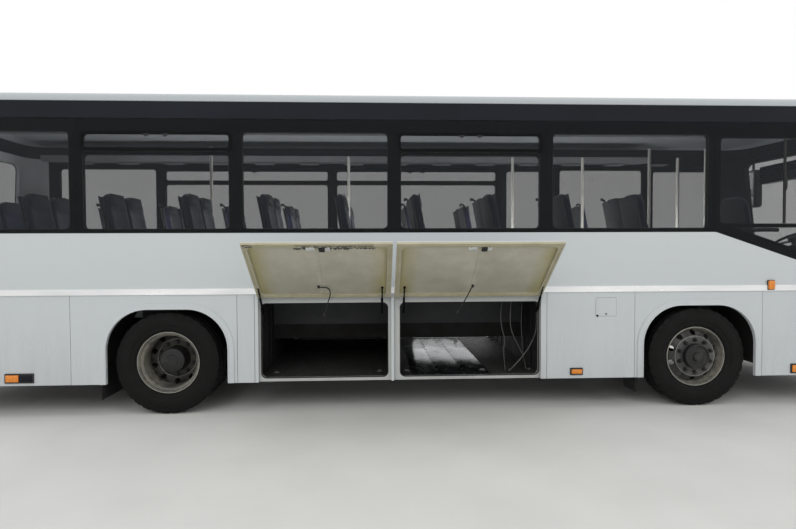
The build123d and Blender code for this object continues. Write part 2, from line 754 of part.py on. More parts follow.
# Lids in the roof, each with a lip that rests on the roof round its opening
for name, (x_low, x_high) in zip(("roof_hatch_rear", "roof_hatch_front"), hatch_places):
    with BuildPart() as roof_hatch:
        add_box((x_low + hatch_gap, x_high - hatch_gap), (hatch_gap - hatch_half, hatch_half - hatch_gap),
                (roof_crown_z - wall, roof_crown_z + hatch_lid_thick))
        add_box((x_low - hatch_lip, x_high + hatch_lip), (-hatch_half - hatch_lip, hatch_half + hatch_lip),
                (roof_crown_z + seat_gap, roof_crown_z + hatch_lid_thick))
        fillet(roof_hatch.edges().filter_by(Axis.Z), hatch_corner / 2)
        chamfer(roof_hatch.faces().sort_by(Axis.Z)[-1].edges(), hatch_chamfer)
        hinge_x = x_low - hatch_lip - hatch_hinge_radius - hatch_hinge_gap
        hinge_z = roof_crown_z + seat_gap + hatch_hinge_radius
        with Locations((hinge_x, 0, hinge_z)):
            Cylinder(hatch_hinge_radius, hatch_half, rotation=(90, 0, 0))
        add_box((hinge_x, x_low - hatch_lip / 2), (hatch_corner - hatch_half / 2, hatch_half / 2 - hatch_corner),
                (hinge_z - hatch_hinge_gap, hinge_z + hatch_hinge_gap))
    save(name, roof_hatch.part)

# Passenger doors of the left side: framed glass leaves, fused over each doorway
with BuildPart() as passenger_doors:
    for x_low, x_high in door_gaps["left"]:
        leaf_x = (x_low + panel_gap, x_high - panel_gap)
        with BuildSketch(side_plane("left")):
            add_rectangle(leaf_x, (door_leaf_low_z + panel_gap, door_leaf_high_z - panel_gap))
            clear_x = (leaf_x[0] + door_leaf_frame, leaf_x[1] - door_leaf_frame)
            add_rectangle(clear_x, (door_split_z + door_leaf_frame, door_leaf_high_z - door_leaf_frame),
                          pane_corner, Mode.SUBTRACT)
            add_rectangle(clear_x, (door_low_glass_z, door_split_z - door_leaf_frame), pane_corner, Mode.SUBTRACT)
        extrude(amount=inwards("left", wall))
        for arm_x in ((x_low + seat_gap, x_low + door_arm[0]), (x_high - door_arm[0], x_high - seat_gap)):
            add_box(arm_x, (inner_y - door_arm[1], inner_y + panel_gap), (podium_z - podium_thick, podium_z))
save("passenger_doors", passenger_doors.part)

with BuildPart() as passenger_door_glass:
    for x_low, x_high in door_gaps["left"]:
        clear_x = (x_low + panel_gap + door_leaf_frame + seat_gap, x_high - panel_gap - door_leaf_frame - seat_gap)
        with BuildSketch(side_plane("left", door_glass_depth)):
            add_rectangle(clear_x, (door_split_z + door_leaf_frame + seat_gap,
                                    door_leaf_high_z - door_leaf_frame - seat_gap), pane_corner)
            add_rectangle(clear_x, (door_low_glass_z + seat_gap, door_split_z - door_leaf_frame - seat_gap),
                          pane_corner)
        extrude(amount=inwards("left", glass_thick))
save("passenger_door_glass", passenger_door_glass.part)

# Floor deck: seat podiums, sunken gangway, and a raised floor over the engine
with BuildPart() as floor_deck:
    with BuildSketch(Plane.YZ.offset(rear_floor_x)):
        for sign in (-1, 1):
            add_rectangle(sorted((sign * gangway_half, sign * inner_y)), (podium_z - podium_thick, podium_z))
        add_rectangle((-trough_outer, trough_outer), (trough_under_z, podium_z))
        add_rectangle((-gangway_half, gangway_half), (gangway_z, podium_z), mode=Mode.SUBTRACT)
    extrude(amount=front_joint_x - rear_floor_x)
    add_box((rear_joint_x, rear_floor_x), (-inner_y, inner_y), (podium_z - podium_thick, podium_z))
    add_box((rear_floor_x - trough_wall, rear_floor_x), (-trough_outer, trough_outer), (trough_under_z, podium_z))
    add_box((front_joint_x, front_floor_x), (-front_floor_half, front_floor_half), (gangway_z - trough_wall, gangway_z))
    add_box((front_joint_x - trough_wall, front_joint_x), (-inner_y, -gangway_half), (gangway_z - trough_wall, podium_z))
    for x_low, x_high in door_gaps["left"]:
        add_box((x_low, x_high), (trough_outer - trough_wall, half_width), (gangway_z, podium_z), Mode.SUBTRACT)
        add_box((x_low, x_high), (trough_outer, half_width), (trough_under_z, podium_z), Mode.SUBTRACT)
        tread = (inner_y - door_step_gap - trough_outer) / len(step_z)
        for step, z in enumerate(step_z):
            start = trough_outer + step * tread
            add_box((x_low, x_high), (start, start + tread), (z - podium_thick, z))
            add_box((x_low, x_high), (start, start + step_riser), (z, (gangway_z, *step_z)[step]))
    for sign in (-1, 1):
        add_box(bay_frame_x, sorted((sign * frame_inner_y, sign * half_width)), (0, strip_low_z), Mode.SUBTRACT)
save("floor_deck", floor_deck.part)

# Chassis: two rails with cross members, wheel housings, engine
with BuildPart() as chassis_frame:
    for sign in (-1, 1):
        add_box(rail_x, sorted((sign * rail_y[0], sign * rail_y[1])),
                (rail_low_z, trough_under_z))
    for x in cross_members_x:
        add_box((x - cross_member_width / 2, x + cross_member_width / 2), (-rail_y[1], rail_y[1]), cross_member_z)
save("chassis_frame", chassis_frame.part)

with BuildPart() as wheel_housings:
    for axle_x in (rear_axle_x, front_axle_x):
        with BuildSketch(Plane.XZ.offset(-half_width + skirt_thick)):
            add_rectangle((axle_x - housing_reach, axle_x + housing_reach), (-body_width, housing_top_z),
                          housing_corner)
            add_rectangle((axle_x - housing_reach + housing_thick, axle_x + housing_reach - housing_thick),
                          (-body_width, housing_top_z - housing_thick), housing_corner - housing_thick, Mode.SUBTRACT)
            add_rectangle((axle_x - body_length, axle_x + body_length), (-body_length, housing_low_z),
                          mode=Mode.SUBTRACT)
        extrude(amount=body_width - 2 * skirt_thick)
    add_box((-far, far), (-housing_inner_y, housing_inner_y), (0, podium_z), Mode.SUBTRACT)
save("wheel_housings", wheel_housings.part)

with BuildPart() as engine_block:
    add_box(engine_x, (-engine_half, engine_half), engine_z)
    fillet(engine_block.edges().filter_by(Axis.X), engine_round)
    for x in engine_feet_x:
        add_box((x - engine_foot / 2, x + engine_foot / 2), (-rail_y[0], rail_y[0]),
                (rail_low_z + engine_foot / 2, rail_low_z + engine_foot))
save("engine_block", engine_block.part)


# Wheels: solids of revolution about the axle line
def wheel_plane(axle_x, y, outward):
    """Section plane of a wheel: sketch x runs outward along the axle from its rim's middle, sketch y up."""
    return Plane(origin=(axle_x, y, tyre_radius), x_dir=(0, outward, 0), z_dir=(outward, 0, 0))


with BuildSketch() as tyre_section:
    bead = rim_seat_radius + seat_gap
    flange_x = rim_width / 2 - rim_thick
    shoulder = (tyre_width / 2 - 32.0, tyre_radius - 2.0)
    with BuildLine():
        Polyline((0, bead), (flange_x - 2, bead), (flange_x - 2, rim_flange_radius + 2),
                 (flange_x + 12, rim_flange_radius + 8))
        ThreePointArc((flange_x + 12, rim_flange_radius + 8), (tyre_width / 2, 405.0), (shoulder[0] + 14, 488.0))
        ThreePointArc((shoulder[0] + 14, 488.0), (shoulder[0] + 10, 498.0), shoulder)
        Polyline(shoulder, (0, tyre_radius), (0, bead))
    make_face()
    mirror(about=Plane.YZ)


def rim_section(disc_points):
    """Rim section: barrel with two flanges, and a disc that runs in to the hub through (x, radius) points."""
    half = rim_width / 2
    inner = rim_seat_radius - rim_thick
    lip = half - rim_thick + 2
    with BuildSketch() as section:
        with BuildLine():
            Polyline((-half, rim_flange_radius), (-half, inner), *disc_points, (half, inner),
                     (half, rim_flange_radius), (lip, rim_flange_radius), (lip, rim_seat_radius),
                     (-lip, rim_seat_radius), (-lip, rim_flange_radius), close=True)
        make_face()
    return section.sketch


# Disc outlines from the barrel in to the hub and out again: (x from the rim's middle, radius)
bore = spindle_radius + spindle_clearance
barrel = rim_seat_radius - rim_thick
dish = -twin_spacing / 2
front_disc = ((34.0, barrel), (58.0, 205.0), (84.0, 190.0), (84.0, hub_radius + 6), (-70.0, hub_radius + 6),
              (-70.0, bore), (front_hub_x, bore), (front_hub_x, 0), (front_cap_x, 0), (front_cap_x, 96.0),
              (front_cap_x - disc_thick, hub_radius), (84.0 + disc_thick, hub_radius), (84.0 + disc_thick, 190.0),
              (76.0, 212.0), (60.0, barrel))
rear_disc = ((dish + 13, 222.0), (dish, 200.0), (dish, bore), (rear_hub_x, bore), (rear_hub_x, 0), (rear_cap_x, 0),
             (rear_cap_x, 100.0), (rear_cap_x - disc_thick, rear_hub_radius), (dish + disc_thick, rear_hub_radius),
             (dish + disc_thick, 200.0), (dish + 26, 226.0), (rim_thick - rim_width / 2, barrel))
twin_disc = ((rim_width / 2 - rim_thick, barrel), (-dish - 26, 226.0), (-dish - disc_thick, 200.0),
             (-dish - disc_thick, bore), (-dish - seat_gap, bore), (-dish - seat_gap, 200.0), (-dish - 13, 222.0))

wheel_sets = (  # (name, axle, ((rim middle, section), ...))
    ("front", front_axle_x, ((front_rim_y, rim_section(front_disc)),)),
    ("rear", rear_axle_x, ((rear_rim_y, rim_section(rear_disc)), (twin_rim_y, rim_section(twin_disc)))),
)
for name, axle_x, rims in wheel_sets:
    axle = Axis((axle_x, 0, tyre_radius), (0, 1, 0))
    for side, sign in side_signs.items():
        with BuildPart() as tyre:
            for y, section in rims:
                with BuildSketch(wheel_plane(axle_x, sign * y, sign)):
                    add(tyre_section.sketch)
                revolve(axis=axle)
        save(f"tyre_{name}_{side}", tyre.part)
        with BuildPart() as rim:
            for y, section in rims:
                with BuildSketch(wheel_plane(axle_x, sign * y, sign)):
                    add(section)
                revolve(axis=axle)
        save(f"rim_{name}_{side}", rim.part)

# Axles and steering knuckles
with BuildPart() as front_axle:
    add_box((front_axle_x - beam_half, front_axle_x + beam_half), (-beam_end_y, beam_end_y), beam_z)
    add_box((front_axle_x - beam_half, front_axle_x + beam_half), (-kingpin_y, kingpin_y), (boss_z[0], beam_z[1]))
    for sign in (-1, 1):
        with BuildSketch(Plane.XY.offset(boss_z[0])):
            with Locations((front_axle_x, sign * kingpin_y)):
                Circle(boss_radius)
        extrude(amount=boss_z[1] - boss_z[0])
        with BuildSketch(Plane.XY.offset(kingpin_z[0])):
            with Locations((front_axle_x, sign * kingpin_y)):
                Circle(kingpin_radius)
        extrude(amount=kingpin_z[1] - kingpin_z[0])
        with BuildSketch(Plane.XY.offset(beam_z[1])):
            with Locations((front_axle_x, sign * sum(rail_y) / 2)):
                Circle(bellows_radius)
        extrude(amount=rail_low_z - beam_z[1])
save("front_axle", front_axle.part)

for side, sign in side_signs.items():
    with BuildPart() as knuckle:
        add_box((front_axle_x - knuckle_half, front_axle_x + knuckle_half), sorted(sign * y for y in knuckle_plate_y),
                kingpin_z)
        for z_low, z_high in ((kingpin_z[0], boss_z[0] - lamp_gap), (boss_z[1] + lamp_gap, kingpin_z[1])):
            add_box((front_axle_x - knuckle_arm, front_axle_x + knuckle_arm),
                    sorted((sign * (kingpin_y - knuckle_arm), sign * knuckle_plate_y[1])), (z_low, z_high))
        with BuildSketch(Plane.XY.offset(kingpin_z[0])):
            with Locations((front_axle_x, sign * kingpin_y)):
                Circle(kingpin_radius + spindle_clearance)
        extrude(amount=kingpin_z[1] - kingpin_z[0], mode=Mode.SUBTRACT)
        with BuildSketch(Plane(origin=(front_axle_x, sign * knuckle_plate_y[0], tyre_radius), z_dir=(0, sign, 0))):
            Circle(spindle_radius)
        extrude(amount=front_rim_y + front_hub_x - spindle_clearance - knuckle_plate_y[0])
    save(f"knuckle_{side}", knuckle.part)

with BuildPart() as rear_axle:
    with Locations((rear_axle_x, 0, tyre_radius)):
        Sphere(differential_radius)
        Cylinder(axle_tube_radius, 2 * axle_tube_y, rotation=(90, 0, 0))
        Cylinder(spindle_radius, 2 * (rear_rim_y + rear_hub_x - spindle_clearance), rotation=(90, 0, 0))
    for sign in (-1, 1):
        with Locations((rear_axle_x, sign * sum(brake_y) / 2, tyre_radius)):
            Cylinder(brake_radius, brake_y[1] - brake_y[0], rotation=(90, 0, 0))
        add_box((rear_axle_x - axle_tube_radius, rear_axle_x + axle_tube_radius),
                sorted((sign * rail_y[0], sign * rail_y[1])), (tyre_radius, rail_low_z))
save("rear_axle", rear_axle.part)

# Dashboard with the steering column, and the steering wheel
column_axis = Vector(-sin(radians(wheel_tilt)), 0, cos(radians(wheel_tilt)))
column_length = (wheel_centre[2] - podium_z) / cos(radians(wheel_tilt))
column_start = Vector(*wheel_centre) - column_axis * (wheel_tube + seat_gap)
with BuildPart() as dashboard:
    with BuildSketch(Plane.XZ.offset(-dash_half)):
        with BuildLine():
            Polyline(*[(x, gangway_z + z) for x, z in dash_outline], close=True)
        make_face()
    extrude(amount=2 * dash_half)
    with BuildSketch(Plane(origin=column_start, z_dir=-column_axis)):
        Circle(column_radius)
    extrude(amount=column_length)
    add_box((0, front_joint_x), (-half_width, half_width), (0, podium_z), Mode.SUBTRACT)
save("dashboard", dashboard.part)

wheel_frame = Plane(origin=wheel_centre, x_dir=(cos(radians(wheel_tilt)), 0, sin(radians(wheel_tilt))),
                    z_dir=column_axis)
with BuildPart(wheel_frame) as steering_wheel:
    Torus(wheel_radius, wheel_tube)
    Cylinder(column_radius + wheel_tube, 3 * wheel_tube, align=(Align.CENTER, Align.CENTER, Align.MIN),
             mode=Mode.ADD)
    with PolarLocations(0, wheel_spokes):
        Box(wheel_radius, 2 * wheel_tube, wheel_tube, align=(Align.MIN, Align.CENTER, Align.MAX))
save("steering_wheel", steering_wheel.part)


# Seats: cushions on pedestals, leaning backs
def seat_back_outline(x, z_low, z_high):
    """Leaning side outline of a seat back whose front foot is at x."""
    lean = (z_high - z_low) * sin(radians(back_lean))
    return [(x, z_low), (x + back_thick, z_low), (x + back_thick * 0.7 - lean, z_high), (x - lean, z_high)]


with BuildPart() as seat_cushions:
    for side, sign in side_signs.items():
        for x in seat_rows_x[side]:
            add_box((x, x + seat_depth), sorted(sign * y for y in seat_y), cushion_z)
            add_box((x + pedestal_depth, x + 2 * pedestal_depth), sorted(sign * y for y in pedestal_y),
                    (podium_z, cushion_z[0]))
    add_box((bench_x, bench_x + seat_depth), (-seat_y[1], seat_y[1]), (podium_z, cushion_z[1]))
    fillet(seat_cushions.edges().filter_by(Axis.Y).group_by(Axis.Z)[-1], cushion_round)
save("seat_cushions", seat_cushions.part)

with BuildPart() as seat_backs:
    for side, sign in side_signs.items():
        with BuildSketch(Plane.XZ.offset(-sign * seat_y[0] if sign > 0 else seat_y[1])):
            for x in (*seat_rows_x[side], bench_x):
                with BuildLine():
                    Polyline(*seat_back_outline(x, cushion_z[1] + seat_gap, back_top_z), close=True)
                make_face()
        extrude(amount=-(seat_y[1] - seat_y[0]))
save("seat_backs", seat_backs.part)

with BuildPart() as driver_seat:
    driver_y = (wheel_centre[1] - driver_seat_half, wheel_centre[1] + driver_seat_half)
    add_box((driver_seat_x, driver_seat_x + seat_depth), driver_y, cushion_z)
    add_box((driver_seat_x + pedestal_depth, driver_seat_x + seat_depth - pedestal_depth),
            (driver_y[0] + pedestal_depth, driver_y[1] - pedestal_depth), (podium_z, cushion_z[0]))
    with BuildSketch(Plane.XZ.offset(-driver_y[0])):
        with BuildLine():
            Polyline(*seat_back_outline(driver_seat_x, cushion_z[0], back_top_z), close=True)
        make_face()
    extrude(amount=-2 * driver_seat_half)
save("driver_seat", driver_seat.part)

with BuildPart() as luggage_racks:
    for sign in (-1, 1):
        with BuildSketch(Plane.YZ.offset(rack_x[0])):
            with BuildLine():
                Polyline((sign * rack_y[1], rack_z[0] + 28), (sign * rack_y[0], rack_z[0]),
                         (sign * (rack_y[0] - 18), rack_z[1] + 34), (sign * (rack_y[0] + 8), rack_z[1] + 34),
                         (sign * (rack_y[0] + 26), rack_z[0] + 28), (sign * rack_y[1], rack_z[1] + 14), close=True)
            make_face()
        extrude(amount=rack_x[1] - rack_x[0])
save("luggage_racks", luggage_racks.part)

with BuildPart() as handrails:
    for x, y in poles:
        floor_z = gangway_z if abs(y) < gangway_half else podium_z
        with BuildSketch(Plane.XY.offset(floor_z)):
            with Locations((x, y)):
                Circle(pole_radius)
        extrude(amount=pole_top_z - floor_z)
save("handrails", handrails.part)

# Lamps
with BuildPart() as headlamps:
    add(shell_region((front_joint_x, far), (bumper_top_z, belt_front_z)))
    with BuildSketch(Plane.YZ.offset(front_joint_x)):
        for sign in (-1, 1):
            add_rectangle(sorted(sign * y for y in (headlamp_y[0] + seat_gap, headlamp_y[1] - seat_gap)),
                          (headlamp_z[0] + seat_gap, headlamp_z[1] - seat_gap), headlamp_corner)
    extrude(amount=far, mode=Mode.INTERSECT)
save("headlamps", headlamps.part)

with BuildPart() as tail_lamps:
    add(shell_region((-far, rear_joint_x), (bumper_top_z, belt_z)))
    with BuildSketch(Plane.YZ.offset(rear_joint_x)):
        for sign in (-1, 1):
            add_rectangle(sorted(sign * y for y in (tail_lamp_y[0] + seat_gap, tail_lamp_y[1] - seat_gap)),
                          (tail_lamp_z[0] + seat_gap, tail_lamp_z[1] - seat_gap), tail_lamp_corner)
    extrude(amount=-far, mode=Mode.INTERSECT)
save("tail_lamps", tail_lamps.part)

with BuildPart() as marker_lamps:
    for side, sign in side_signs.items():
        for x_low, x_high, z_low, z_high, stand in side_lamps[side]:
            face_y = half_width + stand
            add_box((x_low, x_high), sorted((sign * face_y, sign * (face_y + lamp_proud))), (z_low, z_high))
save("marker_lamps", marker_lamps.part)

# Mirrors on arms from pads at the top of the front corners
with BuildPart() as mirrors:
    pad_x, pad_y, pad_z = mirror_pad
    for sign in (-1, 1):
        add_box(pad_x, sorted(sign * y for y in pad_y), pad_z)
    add(outer_volume, mode=Mode.SUBTRACT)
    for sign in (-1, 1):
        route = [(x, sign * y, z) for x, y, z in mirror_arm]
        with BuildLine() as arm:
            FilletPolyline(*route, radius=mirror_arm_bend)
        with BuildSketch(Plane(origin=arm.line @ 0, z_dir=arm.line % 0)):
            Circle(mirror_arm_radius)
        sweep(path=arm.line)
        with Locations((mirror_centre[0], sign * mirror_centre[1], mirror_centre[2])):
            housing = Box(*mirror_size)
        fillet(housing.edges(), mirror_round)
save("mirrors", mirrors.part)

# Wipers that follow the windscreen, on pivots at its foot
outside = body_volume(-wiper_thick)
with BuildPart() as wiper_arms:
    add(outside - body_volume(-wiper_stand))
    with BuildSketch(Plane.YZ.offset(front_joint_x)):
        for y in wiper_pivots_y:
            with Locations(Location((y, wiper_pivot_z), wiper_lean)):
                with Locations((0, wiper_length / 2)):
                    Rectangle(wiper_width, wiper_length)
    extrude(amount=far, mode=Mode.INTERSECT)
with BuildPart() as wiper_pivots:
    add(outside - outer_volume)
    with BuildSketch(Plane.YZ.offset(front_joint_x)):
        with Locations(*[(y, wiper_pivot_z) for y in wiper_pivots_y]):
            Circle(wiper_width)
    extrude(amount=far, mode=Mode.INTERSECT)
with BuildPart() as wipers:
    add(wiper_arms)
    add(wiper_pivots)
save("wipers", wipers.part)

# Towing eyes at both ends
with BuildPart() as towing_eyes:
    for end in (-1, 1):
        x_range = sorted((end * (half_length - eye_size[0] / 2), end * (half_length + eye_size[0])))
        add_box(x_range, (eye_y - eye_size[1] / 2, eye_y + eye_size[1] / 2),
                (eye_z - eye_size[2] / 2, eye_z + eye_size[2] / 2))
    add(body_volume(-seat_gap), mode=Mode.SUBTRACT)
    with BuildSketch(Plane.XY):
        with Locations((half_length + eye_offset, eye_y), (-half_length - eye_offset, eye_y)):
            Circle(eye_radius)
    extrude(amount=2 * eye_z, mode=Mode.SUBTRACT)
save("towing_eyes", towing_eyes.part)
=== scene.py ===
import math
import random

import bpy
from mathutils import Matrix, Vector


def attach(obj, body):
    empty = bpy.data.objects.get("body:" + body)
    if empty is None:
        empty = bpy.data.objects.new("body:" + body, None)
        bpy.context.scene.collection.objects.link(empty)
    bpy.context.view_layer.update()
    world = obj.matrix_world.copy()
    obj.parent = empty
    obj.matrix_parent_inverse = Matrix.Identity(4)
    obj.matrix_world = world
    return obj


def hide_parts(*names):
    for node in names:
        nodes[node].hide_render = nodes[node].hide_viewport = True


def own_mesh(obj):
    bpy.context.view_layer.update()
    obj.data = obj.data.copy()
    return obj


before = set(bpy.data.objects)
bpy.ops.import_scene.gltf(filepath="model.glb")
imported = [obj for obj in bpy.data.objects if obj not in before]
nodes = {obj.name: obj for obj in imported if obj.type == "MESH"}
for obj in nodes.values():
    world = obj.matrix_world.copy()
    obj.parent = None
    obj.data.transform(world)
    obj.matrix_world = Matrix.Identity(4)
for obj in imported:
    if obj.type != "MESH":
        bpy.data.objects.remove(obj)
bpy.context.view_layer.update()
mm = 0.001
print("frame loaded:", len(nodes), "nodes")


def fromAxes(xAxis, yAxis, zAxis, origin):
    return Matrix([*zip(xAxis, yAxis, zAxis, origin), (0, 0, 0, 1)])


# ---- camera at the photograph's angle
cameraLook = {"place": (-0.433, -6.612, 1.6085), "yaw": 2.496, "pitch": -1.579, "roll": -0.206,
              "lens": 24.637, "sensor": 36.0, "reach": 200}
bpy.ops.object.select_all(action="DESELECT")
bpy.ops.object.camera_add(location=cameraLook["place"])
camera = bpy.context.object
camera.name = "camera"
yaw, pitch, roll = (math.radians(cameraLook[key]) for key in ("yaw", "pitch", "roll"))
ahead = Vector((math.sin(yaw) * math.cos(pitch), math.cos(yaw) * math.cos(pitch), math.sin(pitch)))
aside = Vector((math.cos(yaw), -math.sin(yaw), 0))
above = aside.cross(ahead)
turnedAside = aside * math.cos(roll) + above * math.sin(roll)
turnedAbove = above * math.cos(roll) - aside * math.sin(roll)
camera.matrix_world = fromAxes(turnedAside, turnedAbove, -ahead, cameraLook["place"])
camera.data.lens = cameraLook["lens"]
camera.data.sensor_width = cameraLook["sensor"]
camera.data.clip_end = cameraLook["reach"]
bpy.context.scene.camera = camera
bpy.context.scene.view_settings.view_transform = "Standard"


# ---- materials
def toLinear(hexText):
    shades = [int(hexText[i:i + 2], 16) / 255 for i in (0, 2, 4)]
    return tuple(c / 12.92 if c <= 0.04045 else ((c + 0.055) / 1.055) ** 2.4 for c in shades) + (1.0,)


def addNode(tree, kind, sockets=None, stops=(), into=None, **settings):
    # a socket takes a value, a hex colour or what feeds it; into names the shader's input that the node feeds
    node = tree.nodes.new("ShaderNode" + kind)
    for key, value in settings.items():
        setattr(node, key, value)
    for key, value in (sockets or {}).items():
        if isinstance(value, bpy.types.Node):
            value = value.outputs[0]
        if isinstance(value, bpy.types.NodeSocket):
            tree.links.new(value, node.inputs[key])
        else:
            node.inputs[key].default_value = toLinear(value) if isinstance(value, str) else value
    for index, (place, hexText) in enumerate(stops):
        point = node.color_ramp.elements[index] if index < 2 else node.color_ramp.elements.new(place)
        point.position = place
        point.color = toLinear(hexText)
    if into:
        # a colour mix gives its result by its third output, the other nodes by their first
        tree.links.new(node.outputs[2 if kind == "Mix" else 0], tree.nodes["Principled BSDF"].inputs[into])
    return node


def newMaterial(name, **shaderValues):
    material = bpy.data.materials.new(name)
    material.use_nodes = True
    tree = material.node_tree
    for key, value in shaderValues.items():
        tree.nodes["Principled BSDF"].inputs[key.replace("_", " ")].default_value = value
    return material, tree, addNode(tree, "TexCoord").outputs["Object"]


def addGrain(tree, place, scale, depth, detail=4.0, stretch=(1, 1, 1)):
    # relief from noise: scale in lumps per metre, depth in metres
    spread = addNode(tree, "Mapping", {0: place, "Scale": stretch})
    noise = addNode(tree, "TexNoise", {"Vector": spread, "Scale": scale, "Detail": detail})
    addNode(tree, "Bump", {"Height": noise, "Distance": depth, "Strength": 0.6}, into="Normal")


def twoTone(tree, share, first, second, roughLow, roughHigh, fullShare=1.0):
    # colour and roughness pass from a first finish to a second one as the share rises
    addNode(tree, "Mix", {0: share, 6: first, 7: second}, into="Base Color", data_type="RGBA")
    addNode(tree, "MapRange", {0: share, 1: 0.0, 2: fullShare, 3: roughLow, 4: roughHigh}, into="Roughness")


def paintedPanel(name, cleanHex, dirtHex, dirtAmount, roughness):
    # two-pack coach paint: even gloss film over flat panels, road dust thickening towards the sills
    material, tree, place = newMaterial(name, Coat_Weight=0.25, Coat_Roughness=0.12)
    low = addNode(tree, "SeparateXYZ", {0: place}).outputs["Z"]
    heightShare = addNode(tree, "MapRange", {0: low, 1: 1.25, 2: 0.28, 3: 0.06, 4: 1.0})
    streaked = addNode(tree, "Mapping", {0: place, "Scale": (7.0, 7.0, 0.9)})
    streaks = addNode(tree, "TexNoise", {"Vector": streaked, "Scale": 1.6, "Detail": 6.0})
    blotch = addNode(tree, "TexNoise", {"Vector": place, "Scale": 1.1, "Detail": 3.0})
    both = addNode(tree, "Math", {0: streaks, 1: blotch}, operation="MULTIPLY")
    spread = addNode(tree, "MapRange", {0: both, 1: 0.12, 2: 0.42, 3: 0.0, 4: dirtAmount})
    share = addNode(tree, "Math", {0: spread, 1: heightShare}, operation="MULTIPLY")
    twoTone(tree, share, cleanHex, dirtHex, roughness, 0.62, 0.6)
    # panel waviness: one slow swell every 0.4 m, 1 mm high, so reflections bend as on real sheet
    addGrain(tree, place, 2.4, 0.0012, 1.0)
    return material


# the coach's white paint is set grey-white, darker than real white paint: painted shade of the shaded side; the doors'
# outsides take the same colour
whiteInShadeHex = "C3C8CA"
whitePaint = paintedPanel("whiteCoachPaint", whiteInShadeHex, "85827A", 0.22, 0.22)
# the roof's white paint is set darker still than the sides': painted shade of the roof's edge; gutters, seams and vents
# share it
roofPaint = paintedPanel("whiteRoofPaint", "AAB0B3", "9A978F", 0.3, 0.3)
framePaint = paintedPanel("greyFramePaint", "B6B9B8", "77736A", 0.4, 0.42)


def mottled(name, darkHex, paleHex, scale, roughRange, grain, metallic=0.0, stretch=(1, 1, 1), **shaderValues):
    # a surface whose tone and sheen drift between two values in patches of a real size
    material, tree, place = newMaterial(name, Metallic=metallic, **shaderValues)
    spread = addNode(tree, "Mapping", {0: place, "Scale": stretch})
    noise = addNode(tree, "TexNoise", {"Vector": spread, "Scale": scale, "Detail": 6.0, "Roughness": 0.6})
    addNode(tree, "ValToRGB", {0: noise}, ((0.34, darkHex), (0.68, paleHex)), "Base Color")
    addNode(tree, "MapRange", {0: noise, 1: 0.3, 2: 0.7, 3: roughRange[0], 4: roughRange[1]}, into="Roughness")
    addGrain(tree, place, *grain, 3.0, stretch)
    return material


# black stoved enamel: deep gloss; the bluish cast in its colour is a painted reflection of the sky
blackBand = mottled("blackGlossEnamel", "10141B", "171C24", 0.8, (0.14, 0.24), (3.0, 0.001),
                    Specular_IOR_Level=0.18)
# satin black EPDM and powder coat of window frames and pillars
blackFrame = mottled("satinBlackFrame", "090A0B", "111213", 3.0, (0.34, 0.48), (5.0, 0.0004),
                     Specular_IOR_Level=0.08)
# moulded EPDM seals: dull, slightly chalky on the crown
rubberSeal = mottled("sealRubber", "0D0D0D", "1C1C1B", 25.0, (0.6, 0.8), (150.0, 0.0004))
# ribbed rubber matting of the luggage floor: dull, greyed by dust in the grooves
bayMat = mottled("ribbedMatRubber", "232323", "3B3B39", 12.0, (0.55, 0.8), (90.0, 0.0006))
# zinc-plated latch plates: pale zinc, their colour raised near white as a painted highlight against the leaf's shade
zincPlate = mottled("zincPlatePaintedHighlight", "D2D5D5", "F0F1F0", 14.0, (0.25, 0.4), (60.0, 0.0004), 0.15)
# foam seal of the luggage doors, yellowed to the colour of their enamel
foamSeal = mottled("yellowedFoamSeal", "A49C7E", "BDB79D", 30.0, (0.7, 0.9), (150.0, 0.0006))
# woven polyester pull cord: matt black, its weave drawn 2 mm coarse so that it shows as a fine roughness
wovenCord = mottled("wovenPolyesterCord", "0F1011", "27282B", 60.0, (0.7, 0.9), (500.0, 0.0006))
# polished anodised strip: near-mirror with long rolling marks along X
polishedStrip = mottled("polishedStrip", "E9EBEC", "FDFDFD", 6.0, (0.16, 0.3), (9.0, 0.0006), 0.35,
                        (0.15, 1, 1))
# tread plate and sheet of the luggage floor: bare aluminium, coloured dark grey with paler streaks
bayMetal = mottled("bareBaySheet", "2C3036", "63676B", 3.0, (0.10, 0.34), (6.0, 0.004), 0.9, (2.2, 1, 1))
# dull black chip-resistant paint inside the bays, greyed by dust
bayPaint = mottled("dullBayPaint", "101112", "1D1E1E", 4.0, (0.6, 0.85), (45.0, 0.0008))
# matt pebbled black spray, rust-browned castings, grey steel with a soft shine
underseal = mottled("sprayedUnderseal", "0D0D0D", "1B1917", 7.0, (0.7, 0.92), (70.0, 0.003))
castIron = mottled("rustyCastIron", "1B1917", "3A2E26", 12.0, (0.65, 0.9), (110.0, 0.0012), 0.3)
bareSteel = mottled("zincedSteel", "70726F", "9C9D9A", 30.0, (0.28, 0.5), (160.0, 0.0004), 0.9)
# mouldings: the leather grain breaks their shine; the rack's is the smoothest
darkPlastic = mottled("grainedBlackPlastic", "121213", "1E1F20", 14.0, (0.45, 0.62), (260.0, 0.0005))
greyPlastic = mottled("grainedGreyPlastic", "3A3B3D", "4B4C4E", 8.0, (0.5, 0.65), (240.0, 0.0005))
rackPlastic = mottled("paleRackMoulding", "6B6D70", "7D7F82", 2.0, (0.45, 0.6), (120.0, 0.0004))
# off-white coated tube, matt floor vinyl, chalky hose rubber
railCoat = mottled("coatedRail", "CFCDC6", "DEDCD6", 5.0, (0.25, 0.4), (80.0, 0.0002))
floorCover = mottled("grooveFloorVinyl", "26272A", "34363A", 9.0, (0.5, 0.7), (90.0, 0.0008))
hosePale = mottled("greyHose", "3A3A39", "5C5C59", 20.0, (0.5, 0.7), (200.0, 0.0005))
